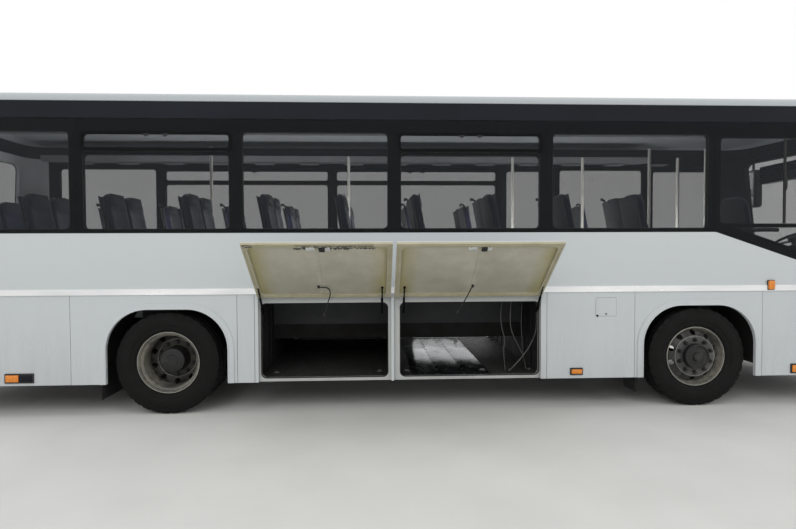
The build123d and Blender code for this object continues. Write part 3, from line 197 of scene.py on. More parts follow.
# silvered glass, clean and sharp; the blank plates' even enamel
mirrorFace = mottled("mirrorSilver", "C4C9CC", "D4D8DA", 2.0, (0.03, 0.06), (2.0, 0.0002), 1.0)
plateBlank = mottled("blankPlateEnamel", "D8D8D2", "E4E4DF", 6.0, (0.3, 0.45), (90.0, 0.0003))
# torn bitumen foil left from an old sound pad: dark, crinkled, dull silver in places
tornFoil = mottled("tornFoil", "3C3C3A", "77766F", 30.0, (0.35, 0.7), (90.0, 0.004), 0.4)


def wheelSteel(name, steelHex, dustHex, dustLevel):
    # stove-enamelled wheel steel: brake and road dust lies in blotches
    material, tree, place = newMaterial(name, Metallic=0.25)
    fine = addNode(tree, "TexNoise", {"Vector": place, "Scale": 22.0, "Detail": 8.0, "Roughness": 0.7})
    broad = addNode(tree, "TexNoise", {"Vector": place, "Scale": 4.0, "Detail": 2.0})
    both = addNode(tree, "Math", {0: fine, 1: broad}, operation="ADD")
    share = addNode(tree, "MapRange", {0: both, 1: 1.15 - dustLevel, 2: 1.45 - dustLevel, 3: 0.0, 4: 1.0})
    twoTone(tree, share, steelHex, dustHex, 0.45, 0.85)
    addGrain(tree, place, 90.0, 0.0008)
    return material


frontWheelSteel = wheelSteel("frontWheelEnamel", "454545", "6A6967", 0.16)
rearWheelSteel = wheelSteel("rearWheelEnamel", "2C2B29", "5A574E", 0.16)
nutSteel = wheelSteel("nutSteel", "1D1D1D", "4C4A45", 0.1)
hubSteel = wheelSteel("hubSteel", "202020", "454340", 0.12)
barrelSteel = wheelSteel("dustyBarrelSteel", "55544F", "838075", 0.26)
edgeSteel = wheelSteel("wornEdgeSteel", "9A9892", "B9B6AD", 0.2)


def tyreRubber():
    # vulcanised rubber: black with brown-grey road dust on the sidewall, fine moulded grain of 2 mm
    material, tree, place = newMaterial("tyreRubber", Specular_IOR_Level=0.2)
    dust = addNode(tree, "TexNoise", {"Vector": place, "Scale": 9.0, "Detail": 7.0, "Roughness": 0.65})
    addNode(tree, "ValToRGB", {0: dust}, ((0.3, "090909"), (0.62, "0F0F0E"), (0.85, "1D1B19")), "Base Color")
    addNode(tree, "MapRange", {0: dust, 1: 0.3, 2: 0.75, 3: 0.5, 4: 0.85}, into="Roughness")
    addGrain(tree, place, 240.0, 0.0006)
    return material


def tintedGlass(name, tintHex, alpha, roughness=0.03, mirror=0.75):
    # tempered grey glass: mirrors the sky faintly and lets the cabin show through
    material, tree, place = newMaterial(name, Base_Color=toLinear(tintHex), Alpha=alpha, IOR=1.5,
                                        Specular_IOR_Level=mirror)
    # wipe marks: gloss drifts in patches of about 0.3 m
    film = addNode(tree, "TexNoise", {"Vector": place, "Scale": 3.0, "Detail": 4.0})
    addNode(tree, "MapRange", {0: film, 1: 0.35, 2: 0.7, 3: roughness, 4: roughness + 0.06}, into="Roughness")
    return material


tyreMaterial = tyreRubber()
sideGlass = tintedGlass("tintedSideGlass", "171B1E", 0.36, mirror=0.3)
clearGlass = tintedGlass("laminatedScreen", "2A3232", 0.24)
lampGlass = tintedGlass("clearLampLens", "C9D0D4", 0.3)


def lampPlastic(name, darkHex, brightHex, ribs):
    # moulded acrylic lens: prisms ribbed at 6 mm; their fine bright and dark lines are painted highlights and shade in
    # the colour
    material, tree, place = newMaterial(name, Coat_Weight=0.6, Coat_Roughness=0.05)
    wave = addNode(tree, "TexWave", {"Vector": place, "Scale": ribs, "Distortion": 0.4}, bands_direction="X")
    twoTone(tree, wave.outputs[1], darkHex, brightHex, 0.12, 0.3)
    return material


amberLens = lampPlastic("amberLens", "C4620C", "F59A1E", 24.0)
orangeLens = lampPlastic("orangeLens", "A8400B", "E0661A", 30.0)
redLens = lampPlastic("redLens", "7E0A0A", "C21A16", 26.0)
whiteLens = lampPlastic("clearRibbedLens", "AEB6BA", "E4E9EC", 26.0)


def seatPlush():
    # woven moquette: dark blue pile with a paler fleck every 12 mm and a soft sheen at grazing angles
    material, tree, place = newMaterial("seatMoquette", Sheen_Weight=0.5, Sheen_Roughness=0.4, Roughness=0.9)
    fleck = addNode(tree, "TexVoronoi", {"Vector": place, "Scale": 85.0}).outputs["Distance"]
    addNode(tree, "ValToRGB", {0: fleck}, ((0.0, "39456E"), (0.22, "1B2140"), (0.6, "12162B")), "Base Color")
    addGrain(tree, place, 600.0, 0.0008, 2.0)
    return material


seatFabric = seatPlush()
# soft vinyl of the headrests: near black, faintly blue, a low even shine
headrestVinyl = mottled("headrestVinyl", "1A1B22", "262834", 20.0, (0.4, 0.6), (300.0, 0.0005))


def doorPaint(name, outward, facePlace):
    # the leaf's outside is coach paint; its inside is old cream enamel, yellowed in patches
    material, tree, place = newMaterial(name)
    reach = addNode(tree, "VectorMath", {0: place, 1: outward}, operation="DOT_PRODUCT").outputs["Value"]
    inside = addNode(tree, "Math", {0: reach, 1: facePlace}, operation="LESS_THAN")
    noise = addNode(tree, "TexNoise", {"Vector": place, "Scale": 5.0, "Detail": 7.0, "Roughness": 0.65})
    cream = addNode(tree, "ValToRGB", {0: noise}, ((0.3, "A39E84"), (0.7, "B8B49C")))
    twoTone(tree, inside, whiteInShadeHex, cream, 0.25, 0.55)
    addGrain(tree, place, 3.0, 0.0012, 1.0)
    return material


def panEnamel(name, middle, halfSpan):
    # cream enamel of the pressed pan: grey-beige in the middle, mustard where rust primer shows at both ends
    material, tree, place = newMaterial(name)
    along = addNode(tree, "SeparateXYZ", {0: place}).outputs["X"]
    offset = addNode(tree, "Math", {0: along, 1: middle}, operation="SUBTRACT")
    away = addNode(tree, "Math", {0: offset}, operation="ABSOLUTE")
    wander = addNode(tree, "TexNoise", {"Vector": place, "Scale": 3.0, "Detail": 5.0})
    shifted = addNode(tree, "Math", {0: wander, 1: 0.22, 2: away}, operation="MULTIPLY_ADD")
    edge = addNode(tree, "MapRange", {0: shifted, 1: halfSpan, 2: halfSpan + 0.16, 3: 0.0, 4: 0.85})
    fine = addNode(tree, "TexNoise", {"Vector": place, "Scale": 7.0, "Detail": 8.0, "Roughness": 0.7})
    plain = addNode(tree, "ValToRGB", {0: fine}, ((0.3, "ADA999"), (0.7, "BEBBAC")))
    addNode(tree, "Mix", {0: edge, 6: plain, 7: "A39B6C"}, into="Base Color", data_type="RGBA")
    addNode(tree, "MapRange", {0: fine, 1: 0.3, 2: 0.7, 3: 0.42, 4: 0.7}, into="Roughness")
    addGrain(tree, place, 4.0, 0.002, 2.0)
    return material


# a luggage door's outward normal and how far its face lies along it: three stand open, one is shut
openFace = ((0.0, 0.6018, 0.7986), 0.1635)
doorFaces = {"right_rear": openFace, "right_front": openFace, "left_front": ((0.0, -0.6018, 0.7986), 0.1635),
             "left_rear": ((0.0, 1.0, 0.0), 1.242)}
# finishes of the CAD nodes that stay as they are
cadFinish = [
    (roofPaint, "roof_shell roof_hatch_rear roof_hatch_front"), (framePaint, "bay_frames"),
    (whitePaint, "front_panel rear_panel engine_cover bumpers waist_panels skirts fuel_flap"),
    (blackBand, "upper_band front_pillars passenger_doors"), (blackFrame, "window_frames hopper_frames wipers"),
    (sideGlass, "rear_window side_windows passenger_door_glass"), (clearGlass, "windscreen"),
    (polishedStrip, "rub_strips"), (bayPaint, "bay_floor bay_bulkheads"), (floorCover, "floor_deck"),
    (underseal, "chassis_frame wheel_housings"), (railCoat, "handrails"), (rackPlastic, "luggage_racks"),
    (castIron, "engine_block front_axle knuckle_left knuckle_right rear_axle towing_eyes"),
    (greyPlastic, "dashboard"), (darkPlastic, "steering_wheel mirrors"), (lampGlass, "headlamps"),
    (redLens, "tail_lamps"), (amberLens, "marker_lamps"),
] + [(doorPaint("doorPaint_" + tag, *face), "luggage_door_" + tag) for tag, face in doorFaces.items()]
for material, names in cadFinish:
    for name in names.split():
        nodes[name].data.materials.clear()
        nodes[name].data.materials.append(material)
print("finishes set:", len(cadFinish))


# ---- modelling helpers
def leaveAll():
    if bpy.context.mode != "OBJECT":
        bpy.ops.object.mode_set(mode="OBJECT")
    bpy.ops.object.select_all(action="DESELECT")


def pick(piece):
    leaveAll()
    piece.select_set(True)
    bpy.context.view_layer.objects.active = piece


def bakePlace(piece):
    pick(piece)
    bpy.ops.object.transform_apply(location=True, rotation=True, scale=True)


def applyModifier(piece, kind, **settings):
    pick(piece)
    modifier = piece.modifiers.new(kind.lower(), kind)
    for key, value in settings.items():
        setattr(modifier, key, value)
    bpy.ops.object.modifier_apply(modifier=modifier.name)


def block(size, place, bevel=0.0, turn=(0, 0, 0), segments=2):
    leaveAll()
    bpy.ops.mesh.primitive_cube_add(size=1, location=place, rotation=turn)
    piece = bpy.context.object
    piece.scale = size
    bakePlace(piece)
    if bevel:
        applyModifier(piece, "BEVEL", width=bevel, segments=segments, limit_method="ANGLE")
    return piece


def spanBlock(xSpan, ySpan, zSpan, bevel=0.0):
    spans = (xSpan, ySpan, zSpan)
    return block([abs(s[1] - s[0]) for s in spans], [(s[0] + s[1]) / 2 for s in spans], bevel)


def rod(start, end, radius, sides=16, bevel=0.0):
    start, end = Vector(start), Vector(end)
    leaveAll()
    bpy.ops.mesh.primitive_cylinder_add(vertices=sides, radius=radius, depth=(end - start).length,
                                        location=(start + end) / 2,
                                        rotation=(end - start).to_track_quat("Z", "Y").to_euler())
    piece = bpy.context.object
    bakePlace(piece)
    if bevel:
        applyModifier(piece, "BEVEL", width=bevel, segments=2, limit_method="ANGLE")
    return piece


def torus(place, radius, tube, sides, turn=(0, 0, 0)):
    leaveAll()
    bpy.ops.mesh.primitive_torus_add(location=place, rotation=turn, major_radius=radius, minor_radius=tube,
                                     major_segments=sides, minor_segments=8)
    ring = bpy.context.object
    bakePlace(ring)
    return ring


def lathe(profile, centre, steps):
    # profile: (distance to the coach's right along the axle, radius) in mm, spun about a line along Y
    centre = Vector(centre)
    points = [centre + Vector((0, -x * mm, r * mm)) for x, r in profile]
    leaveAll()
    bpy.ops.mesh.primitive_plane_add(size=0.01, location=points[0])
    piece = bpy.context.object
    bakePlace(piece)
    bpy.ops.object.mode_set(mode="EDIT")
    bpy.ops.mesh.select_mode(type="VERT")
    bpy.ops.mesh.select_all(action="SELECT")
    bpy.ops.mesh.merge(type="CENTER")
    for before, after in zip(points, points[1:]):
        bpy.ops.mesh.extrude_region_move(TRANSFORM_OT_translate={"value": after - before})
    bpy.ops.mesh.select_all(action="SELECT")
    bpy.ops.mesh.spin(steps=steps, angle=math.tau, center=centre, axis=(0, 1, 0))
    bpy.ops.mesh.select_all(action="SELECT")
    bpy.ops.mesh.remove_doubles(threshold=0.00005)
    bpy.ops.mesh.normals_make_consistent(inside=False)
    bpy.ops.object.mode_set(mode="OBJECT")
    return piece


def selectFaces(piece, wanted):
    pick(piece)
    bpy.ops.object.mode_set(mode="EDIT")
    bpy.ops.mesh.select_mode(type="FACE")
    bpy.ops.mesh.select_all(action="DESELECT")
    bpy.ops.object.mode_set(mode="OBJECT")
    for face in piece.data.polygons:
        face.select = wanted(face)
    bpy.ops.object.mode_set(mode="EDIT")


def joinPieces(pieces):
    # a list becomes one piece, a single piece comes back as it is
    if not isinstance(pieces, list):
        return pieces
    leaveAll()
    for piece in pieces:
        piece.select_set(True)
    bpy.context.view_layer.objects.active = pieces[0]
    if len(pieces) > 1:
        bpy.ops.object.join()
    return bpy.context.object


def placed(pieces, change):
    piece = joinPieces(pieces)
    piece.data.transform(change)
    if change.determinant() < 0:
        piece.data.flip_normals()
    return piece


def copyPiece(piece, change):
    twin = piece.copy()
    twin.data = piece.data.copy()
    bpy.context.scene.collection.objects.link(twin)
    return placed(twin, change)


def lineCurve(points, radius=0.0, closed=False, sides=3, smooth=True):
    curve = bpy.data.curves.new("trimLine", "CURVE")
    curve.dimensions = "3D"
    curve.bevel_depth = radius
    curve.bevel_resolution = sides
    curve.use_fill_caps = True
    curve.resolution_u = 6
    line = curve.splines.new("NURBS" if smooth else "POLY")
    line.points.add(len(points) - 1)
    for point, place in zip(line.points, points):
        point.co = (*place, 1)
    line.use_cyclic_u = closed
    if smooth:
        line.order_u = 3
        line.use_endpoint_u = not closed
    piece = bpy.data.objects.new("trim", curve)
    bpy.context.scene.collection.objects.link(piece)
    return piece


def tubeAlong(points, radius, closed=False, sides=3, smooth=True):
    # trim that follows a line: a bevelled curve made a mesh
    pick(lineCurve(points, radius, closed, sides, smooth))
    bpy.ops.object.convert(target="MESH")
    return bpy.context.object


def finish(pieces, name, body, material, smooth=35.0):
    piece = joinPieces(pieces)
    bakePlace(piece)
    piece.name = name
    piece.data.name = name
    piece.data.materials.clear()
    piece.data.materials.append(material)
    bpy.ops.object.shade_smooth_by_angle(angle=math.radians(smooth))
    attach(piece, body)
    return piece


def roundedLoop(xSpan, zSpan, corner, steps=5):
    # (u, v) points round a rounded rectangle
    points = []
    for cx, cz, start in ((xSpan[1] - corner, zSpan[1] - corner, 0), (xSpan[0] + corner, zSpan[1] - corner, 90),
                          (xSpan[0] + corner, zSpan[0] + corner, 180), (xSpan[1] - corner, zSpan[0] + corner, 270)):
        for step in range(steps + 1):
            angle = math.radians(start + 90 * step / steps)
            points.append((cx + corner * math.cos(angle), cz + corner * math.sin(angle)))
    return points


# ---- cords: pull cords inside the two open luggage doors, hoses in the front bay
doorLook = {"hingeY": 1.254, "hingeZ": 1.166, "length": 0.858, "rim": 0.046, "pan": 0.018, "rimFace": 0.036,
            "lift": math.radians(37), "stayRadius": 0.012, "latchD": 0.782}


def leafFrame(side, opened):
    # leaf coordinates (along the coach, down the leaf, into the bay) to the row frame
    lift = doorLook["lift"]
    along = (0, side * math.cos(lift), math.sin(lift)) if opened else (0, 0, -1)
    inward = (0, side * math.sin(lift), -math.cos(lift)) if opened else (0, -side, 0)
    return fromAxes((1, 0, 0), along, inward, (0, side * doorLook["hingeY"], doorLook["hingeZ"]))


def makeCord(name, body, route, diameter, material):
    # a cord: a tube of the given diameter along a smooth spline through the route's points
    plainLine = lineCurve(route)
    followed = [tuple(vert.co) for vert in bpy.data.meshes.new_from_object(plainLine).vertices]
    bpy.data.objects.remove(plainLine)
    cord = finish(tubeAlong(route, diameter / 2), name, body, material, 60)
    return cord


pullCords = {
    "Rear": {"body": "door_right_rear", "eye": (-0.953, 0.193), "length": 0.352, "diameter": 0.011,
             "route": ((0, 0, 0), (0.045, -0.003, 0.004), (0.095, -0.004, -0.010), (0.105, 0.0, -0.065),
                       (0.080, 0.004, -0.14), (0.060, 0.006, -0.205), (0.043, 0.006, -0.262))},
    "Front": {"body": "door_right_front", "eye": (0.503, 0.190), "length": 0.277, "diameter": 0.011,
              "route": ((0, 0, 0), (-0.025, 0.002, -0.055), (-0.060, 0.004, -0.115), (-0.095, 0.006, -0.175),
                        (-0.122, 0.006, -0.215), (-0.138, 0.006, -0.240))},
}
for end, cordLook in pullCords.items():
    eyeX, eyeD = cordLook["eye"]
    anchor = leafFrame(-1, True) @ Vector((eyeX, eyeD, 0.040))
    route = [anchor + Vector(bend) for bend in cordLook["route"]]
    grip = [rod(route[-1] + Vector((0, 0, top)), route[-1] + Vector((0, 0, foot)), radius, 18, bevel)
            for top, foot, radius, bevel in ((0.012, -0.016, 0.0095, 0.003), (0.019, 0.011, 0.0075, 0.002))]
    handle = finish(grip, "pullHandle" + end, cordLook["body"], darkPlastic, 40)
    side = 1 if route[1].x > anchor.x else -1
    clip = block((0.020, 0.022, 0.026), (eyeX - side * 0.009, eyeD, 0.031), 0.004, segments=3)
    finish(placed(clip, leafFrame(-1, True)), "pullClip" + end, cordLook["body"], darkPlastic)
    cord = makeCord("pullCord" + end, cordLook["body"], route, cordLook["diameter"],
                    wovenCord)
    for piece in (cord, handle):
        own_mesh(piece)

# pale hoses that hang from the roof of the front bay to its floor
bayHoses = (  # diameter, length, points of the route
    (0.013, 0.787, ((1.245, -1.06, 1.05), (1.243, -1.06, 0.90), (1.235, -1.07, 0.745), (1.165, -1.07, 0.60),
                    (1.11, -1.07, 0.52), (1.02, -1.06, 0.41), (0.961, -1.05, 0.352))),
    (0.009, 0.750, ((0.90, -1.0, 1.085), (0.87, -1.02, 0.95), (0.88, -1.05, 0.783), (0.915, -1.05, 0.69),
                    (0.90, -1.03, 0.52), (0.93, -1.0, 0.35))),
    (0.009, 0.766, ((1.0, -0.98, 1.085), (0.975, -1.0, 0.90), (0.985, -1.03, 0.755), (1.05, -1.04, 0.62),
                    (1.12, -1.03, 0.49), (1.15, -1.0, 0.36))),
    (0.008, 0.745, ((1.12, -0.96, 1.085), (1.10, -0.98, 0.88), (1.105, -1.0, 0.70), (1.12, -0.98, 0.52),
                    (1.16, -0.95, 0.35))),
)
for index, (diameter, length, route) in enumerate(bayHoses, 1):
    makeCord(f"bayHose{index}", "coach", route, diameter, hosePale)
print("cords hung")

# ---- wheels
wheelShape = {"frontX": 2.850, "rearX": -2.458, "radius": 505, "frontY": 1.082, "rearY": 1.079, "twin": 0.316,
              "steps": 96, "rimSteps": 72, "nutCircle": 167.5, "holeCircle": 238, "holeRadius": 28, "nuts": 10,
              "hubReach": 0.1285, "barrelReach": 0.256}
halfTyre = [(0, 491), (20, 491), (22, 505), (26, 505), (74, 504.2), (76, 490), (88, 490), (90, 503.6),
            (118, 502), (129, 498), (136, 489), (139.5, 474), (141, 462), (138.5, 459), (143.5, 440), (146, 410),
            (144.5, 380), (141, 362), (137.5, 358), (138.5, 354), (131, 330), (126, 318), (120, 314),
            (120, 309), (110, 302), (102, 298), (100, 284.5), (0, 284.5)]
tyreProfile = halfTyre + [(-x, r) for x, r in reversed(halfTyre)][1:]


def makeTyre(place):
    tyre = lathe(tyreProfile, place, wheelShape["steps"])
    place = Vector(place)

    def isShoulderBlock(face):
        spot = face.center - place
        distance = math.hypot(spot.x, spot.z)
        turn = math.atan2(spot.z, spot.x) / math.tau * wheelShape["steps"]
        across = abs(spot.y)
        return distance > 0.480 and 0.092 < across < 0.142 and int(math.floor(turn)) % 3 == 0

    selectFaces(tyre, isShoulderBlock)
    bpy.ops.mesh.inset(thickness=0.0015, use_even_offset=True)
    bpy.ops.transform.shrink_fatten(value=-0.005)
    bpy.ops.object.mode_set(mode="OBJECT")
    return tyre


flangeBack = [(84, 285.5), (100, 287.5), (102, 296), (108, 302), (114, 303), (119, 301), (118, 298)]
frontRimProfile = [(118, 298), (112, 300), (106, 297), (105, 286), (84, 282), (70, 276), (40, 268), (58, 238),
                   (84, 214), (98, 206), (99, 204), (98, 131), (104, 128), (150, 127), (158, 122), (160, 112),
                   (150, 106), (148, 60), (150, 52), (160, 48), (170, 44), (174, 30), (175, 0)]
frontRimBack = [(90, 0), (84, 126), (84, 200), (72, 210), (46, 240), (26, 260), (-60, 262), (-104, 282),
                (-106, 297), (-118, 298), (-119, 301), (-114, 303), (-108, 302), (-102, 296), (-100, 287.5), (-70, 274),
                (-60, 270), (20, 272)] + flangeBack
rearRimProfile = [(118, 298), (112, 300), (106, 297), (104, 286), (88, 281), (74, 278), (66, 262), (50, 258),
                  (-92, 257), (-112, 244), (-134, 218), (-138, 200), (-136, 196), (-139, 192), (-144, 190),
                  (-144, 131), (-138, 127), (0, 124), (14, 120), (20, 110), (22, 60), (26, 56), (26, 30), (24, 0)]
rearRimBack = [(-150, 0), (-158, 120), (-158, 200), (-146, 224), (-120, 262), (-118, 298), (-112, 292),
               (-60, 274)] + flangeBack
innerRimProfile = [(118, 298), (-118, 298), (-118, 266), (80, 262), (140, 228), (157, 200), (157, 60), (143, 60),
                   (143, 196), (118, 232), (60, 272), (118, 292), (118, 298)]


def dressRim(rim, place, face, holeDepth):
    # hand holes are cut through the cone, then nuts on their washers stand on the disc
    place = Vector(place)
    cutters = []
    for index in range(wheelShape["nuts"]):
        angle = math.tau * (index + 0.5) / wheelShape["nuts"]
        spot = place + Vector((math.cos(angle), 0, math.sin(angle))) * wheelShape["holeCircle"] * mm
        middle = spot + Vector((0, -holeDepth * mm, 0))
        cutters.append(rod(middle - Vector((0, 0.06, 0)), middle + Vector((0, 0.06, 0)),
                           wheelShape["holeRadius"] * mm, 18))
    cutter = joinPieces(cutters)
    applyModifier(rim, "BOOLEAN", operation="DIFFERENCE", object=cutter, solver="EXACT", use_self=True)
    bpy.data.objects.remove(cutter)
    nuts = []
    for index in range(wheelShape["nuts"]):
        angle = math.tau * index / wheelShape["nuts"] + math.radians(18)
        spot = place + Vector((math.cos(angle), 0, math.sin(angle))) * wheelShape["nutCircle"] * mm
        spot.y -= (face - 1) * mm
        out = Vector((0, -1, 0))
        for near, far, radius, sides, bevel in ((0, 0.007, 0.023, 20, 0.0015), (0.006, 0.027, 0.019, 6, 0.0015),
                                                (0.02, 0.042, 0.0105, 12, 0.001)):
            nuts.append(rod(spot + out * near, spot + out * far, radius, sides, bevel))
    return rim, joinPieces(nuts)


def edgeRings(place, radii):
    # bare worn edges of the flange and of the barrel's step: (radius, distance outward, tube radius) in mm
    return joinPieces([torus(Vector(place) + Vector((0, -out * mm, 0)), radius * mm, tube * mm, 72,
                             (math.pi / 2, 0, 0)) for radius, out, tube in radii])


def shadeRim(rim, axleX):
    # the hub drum and its cap are raw cast steel, darker than the disc; the barrel carries pale dust
    rim.data.materials.append(hubSteel)
    rim.data.materials.append(barrelSteel)
    for face in rim.data.polygons:
        reach = math.hypot(face.center.x - axleX, face.center.z - wheelShape["radius"] * mm)
        if reach < wheelShape["hubReach"]:
            face.material_index = 1
        elif reach > wheelShape["barrelReach"]:
            face.material_index = 2


halfTurn = {axle: Matrix.Translation((2 * wheelShape[axle + "X"], 0, 0)) @ Matrix.Rotation(math.pi, 4, "Z")
            for axle in ("front", "rear")}
frontPlace = (wheelShape["frontX"], -wheelShape["frontY"], wheelShape["radius"] * mm)
rearPlace = (wheelShape["rearX"], -wheelShape["rearY"], wheelShape["radius"] * mm)
twinPlace = (wheelShape["rearX"], -wheelShape["rearY"] + wheelShape["twin"], wheelShape["radius"] * mm)

frontTyre = makeTyre(frontPlace)
rearTyres = joinPieces([makeTyre(rearPlace), makeTyre(twinPlace)])
rimSteps = wheelShape["rimSteps"]
frontRim, frontNuts = dressRim(lathe(frontRimProfile + frontRimBack, frontPlace, rimSteps), frontPlace, 98, 60)
rearRim, rearNuts = dressRim(lathe(rearRimProfile + rearRimBack, rearPlace, rimSteps), rearPlace, -144, -125)
rearRim = joinPieces([rearRim, lathe(innerRimProfile, twinPlace, rimSteps)])
frontRings = edgeRings(frontPlace, ((299.5, 117, 3.2), (206, 98, 2.0)))
rearRings = edgeRings(rearPlace, ((299.5, 117, 3.4), (280.5, 80, 3.0), (194, -137, 3.0)))
for side, isCopy in (("right", False), ("left", True)):
    for axle, parts in (("front", (frontTyre, frontRim, frontNuts, frontRings)),
                        ("rear", (rearTyres, rearRim, rearNuts, rearRings))):
        if isCopy:
            parts = [copyPiece(part, halfTurn[axle]) for part in parts]
        body = f"wheel_{axle}_{side}"
        tag = axle.capitalize() + side.capitalize()
        tyre = finish(parts[0], "tyre" + tag, body, tyreMaterial, 40)
        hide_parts(f"tyre_{axle}_{side}")
        steel = frontWheelSteel if axle == "front" else rearWheelSteel
        rim = finish(parts[1], "rim" + tag, body, steel, 30)
        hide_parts(f"rim_{axle}_{side}")
        shadeRim(rim, wheelShape[axle + "X"])
        finish(parts[3], "rimEdges" + tag, body, edgeSteel, 60)
        finish(parts[2], "wheelNuts" + tag, body, nutSteel, 30)
print("wheels made")


def pressedPanel(xSpan, ySpan, z, corner, steps):
    # thin sheet with pressed fields: each step is (inset, rise) from the rim inwards
    leaveAll()
    bpy.ops.mesh.primitive_plane_add(size=1, location=(sum(xSpan) / 2, sum(ySpan) / 2, z))
    piece = bpy.context.object
    piece.scale = (xSpan[1] - xSpan[0], ySpan[1] - ySpan[0], 1)
    bakePlace(piece)
    bpy.ops.object.mode_set(mode="EDIT")
    bpy.ops.mesh.select_mode(type="VERT")
    bpy.ops.mesh.select_all(action="SELECT")
    bpy.ops.mesh.bevel(offset=corner, segments=5, affect="VERTICES")
    bpy.ops.mesh.select_mode(type="FACE")
    bpy.ops.mesh.select_all(action="SELECT")
    for inset, rise in steps:
        bpy.ops.mesh.inset(thickness=inset, depth=rise)
    bpy.ops.object.mode_set(mode="OBJECT")
    applyModifier(piece, "SOLIDIFY", thickness=0.0015, offset=-1)
    return piece


# ---- luggage doors: inner skins, latches, seals, hinges, handles, stays
stayPlaces = {"right_rear": (-1.533, -0.358), "right_front": (-0.144, 1.203), "left_front": (0.142, 1.190)}
doors = {  # side of the coach, both ends of the leaf, opened at rest
    "right_rear": (-1, -1.566, -0.272, True),
    "right_front": (-1, -0.238, 1.226, True),
    "left_rear": (1, -1.566, -0.240, False),
    "left_front": (1, 0.060, 1.262, True),
}


def tornPatch(xSpan, dSpan, depth, seed, columns=60):
    # crinkled foil with one ragged edge, stuck on the door's rim or on its pan
    leaveAll()
    chance = random.Random(seed)
    bpy.ops.mesh.primitive_grid_add(x_subdivisions=columns, y_subdivisions=8, size=1,
                                    location=(sum(xSpan) / 2, sum(dSpan) / 2, depth))
    patch = bpy.context.object
    patch.scale = (xSpan[1] - xSpan[0], dSpan[1] - dSpan[0], 1)
    bakePlace(patch)
    reaches = [chance.uniform(0.35, 1.0) for _ in range(columns + 1)]
    for point in patch.data.vertices:
        column = round((point.co.x - xSpan[0]) / (xSpan[1] - xSpan[0]) * columns)
        point.co.y = dSpan[1] - (dSpan[1] - point.co.y) * reaches[min(column, columns)]
        point.co.x += chance.uniform(-0.003, 0.003)
        point.co.z += chance.uniform(-0.0004, 0.0007)
    applyModifier(patch, "SOLIDIFY", thickness=0.0006)
    return patch


for tag, (side, xLow, xHigh, opened) in doors.items():
    body = "door_" + tag
    title = "".join(word.capitalize() for word in tag.split("_"))
    toRow = leafFrame(side, opened)
    middle, length, rim = (xLow + xHigh) / 2, doorLook["length"], doorLook["rim"]
    halfSpan = (xHigh - xLow) / 2 - 0.10
    skinPaint = panEnamel("panEnamel" + title, middle, halfSpan)
    skins = [pressedPanel(span, (0.055, length - rim - 0.003), doorLook["pan"] + 0.0022, 0.05,
                          ((0.014, 0), (0.008, 0.0035)))
             for span in ((xLow + rim + 0.004, middle - 0.0015), (middle + 0.0015, xHigh - rim - 0.004))]
    finish(placed(skins, toRow), "panSkin" + title, body, skinPaint)

    latchD = doorLook["latchD"]
    plate = block((0.208, 0.064, 0.0085), (middle, latchD, doorLook["pan"] + 0.0042), 0.002)
    finish(placed(plate, toRow), "latchPlate" + title, body, zincPlate)
    lumps = [block((0.052, 0.046, 0.022), (middle + 0.035, latchD, 0.036), 0.006, segments=3),
             rod((middle + 0.035, latchD - 0.03, 0.036), (middle + 0.035, latchD + 0.034, 0.036), 0.006)]
    for x in (middle - 0.082, middle + 0.082):
        lumps.append(rod((x, latchD + 0.02, 0.024), (x, latchD + 0.02, 0.0295), 0.007, 6, 0.001))
    finish(placed(lumps, toRow), "latchLock" + title, body, darkPlastic)

    seal = tubeAlong([(u, v, doorLook["rimFace"] + 0.0022) for u, v in
                      roundedLoop((xLow + 0.018, xHigh - 0.018), (0.036, length - 0.016), 0.04)], 0.0032, True,
                     smooth=False)
    finish(placed(seal, toRow), "leafSeal" + title, body, foamSeal, 50)

    start, count = xLow + 0.022, 15
    pitchX = (xHigh - xLow - 0.044) / count
    knuckles = [rod((start + index * pitchX + 0.001, 0, 0), (start + (index + 1) * pitchX - 0.001, 0, 0), 0.0058,
                    12, 0.0008) for index in range(count)]
    finish(placed(knuckles, toRow), "pianoHinge" + title, body, blackFrame)

    handle = [block((0.17, 0.075, 0.009), (middle, 0.765, 0.0005), 0.0035, segments=3),
              block((0.13, 0.04, 0.006), (middle - 0.008, 0.765, -0.0055), 0.0025, segments=3),
              rod((middle + 0.068, 0.765, 0), (middle + 0.068, 0.765, -0.0075), 0.0085, 20, 0.001)]
    finish(placed(handle, toRow), "flushHandle" + title, body, darkPlastic)

    if opened:
        upper = toRow @ Vector((0, 0.17, 0.030))
        lower = Vector((0, side * 1.186, 0.985))
        for end, x in zip(("Rear", "Front"), stayPlaces[tag]):
            top, foot = upper + Vector((x, 0, 0)), lower + Vector((x, 0, 0))
            joint = top.lerp(foot, 0.42)
            half = Vector((0.012, 0, 0))
            stay = [rod(top, joint, 0.007, 14), rod(joint, foot, doorLook["stayRadius"], 20, 0.002),
                    rod(top - half, top + half, 0.010, 16, 0.002), rod(foot - half, foot + half, 0.011, 16, 0.002)]
            stay = finish(stay, f"gasStay{end}{title}", body, blackFrame)
            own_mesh(stay)

foilOnRim, foilOnPan = doorLook["rimFace"] + 0.0009, doorLook["pan"] + 0.0068
patches = [tornPatch((-1.11, -0.44), (0.806, 0.852), foilOnRim, 4),
           tornPatch((-1.55, -1.47), (0.806, 0.850), foilOnRim, 9),
           tornPatch((-1.13, -0.42), (0.762, 0.810), foilOnPan, 5)]
finish(placed(patches, leafFrame(-1, True)), "tornFoilRightRear", "door_right_rear", tornFoil)
print("doors dressed")

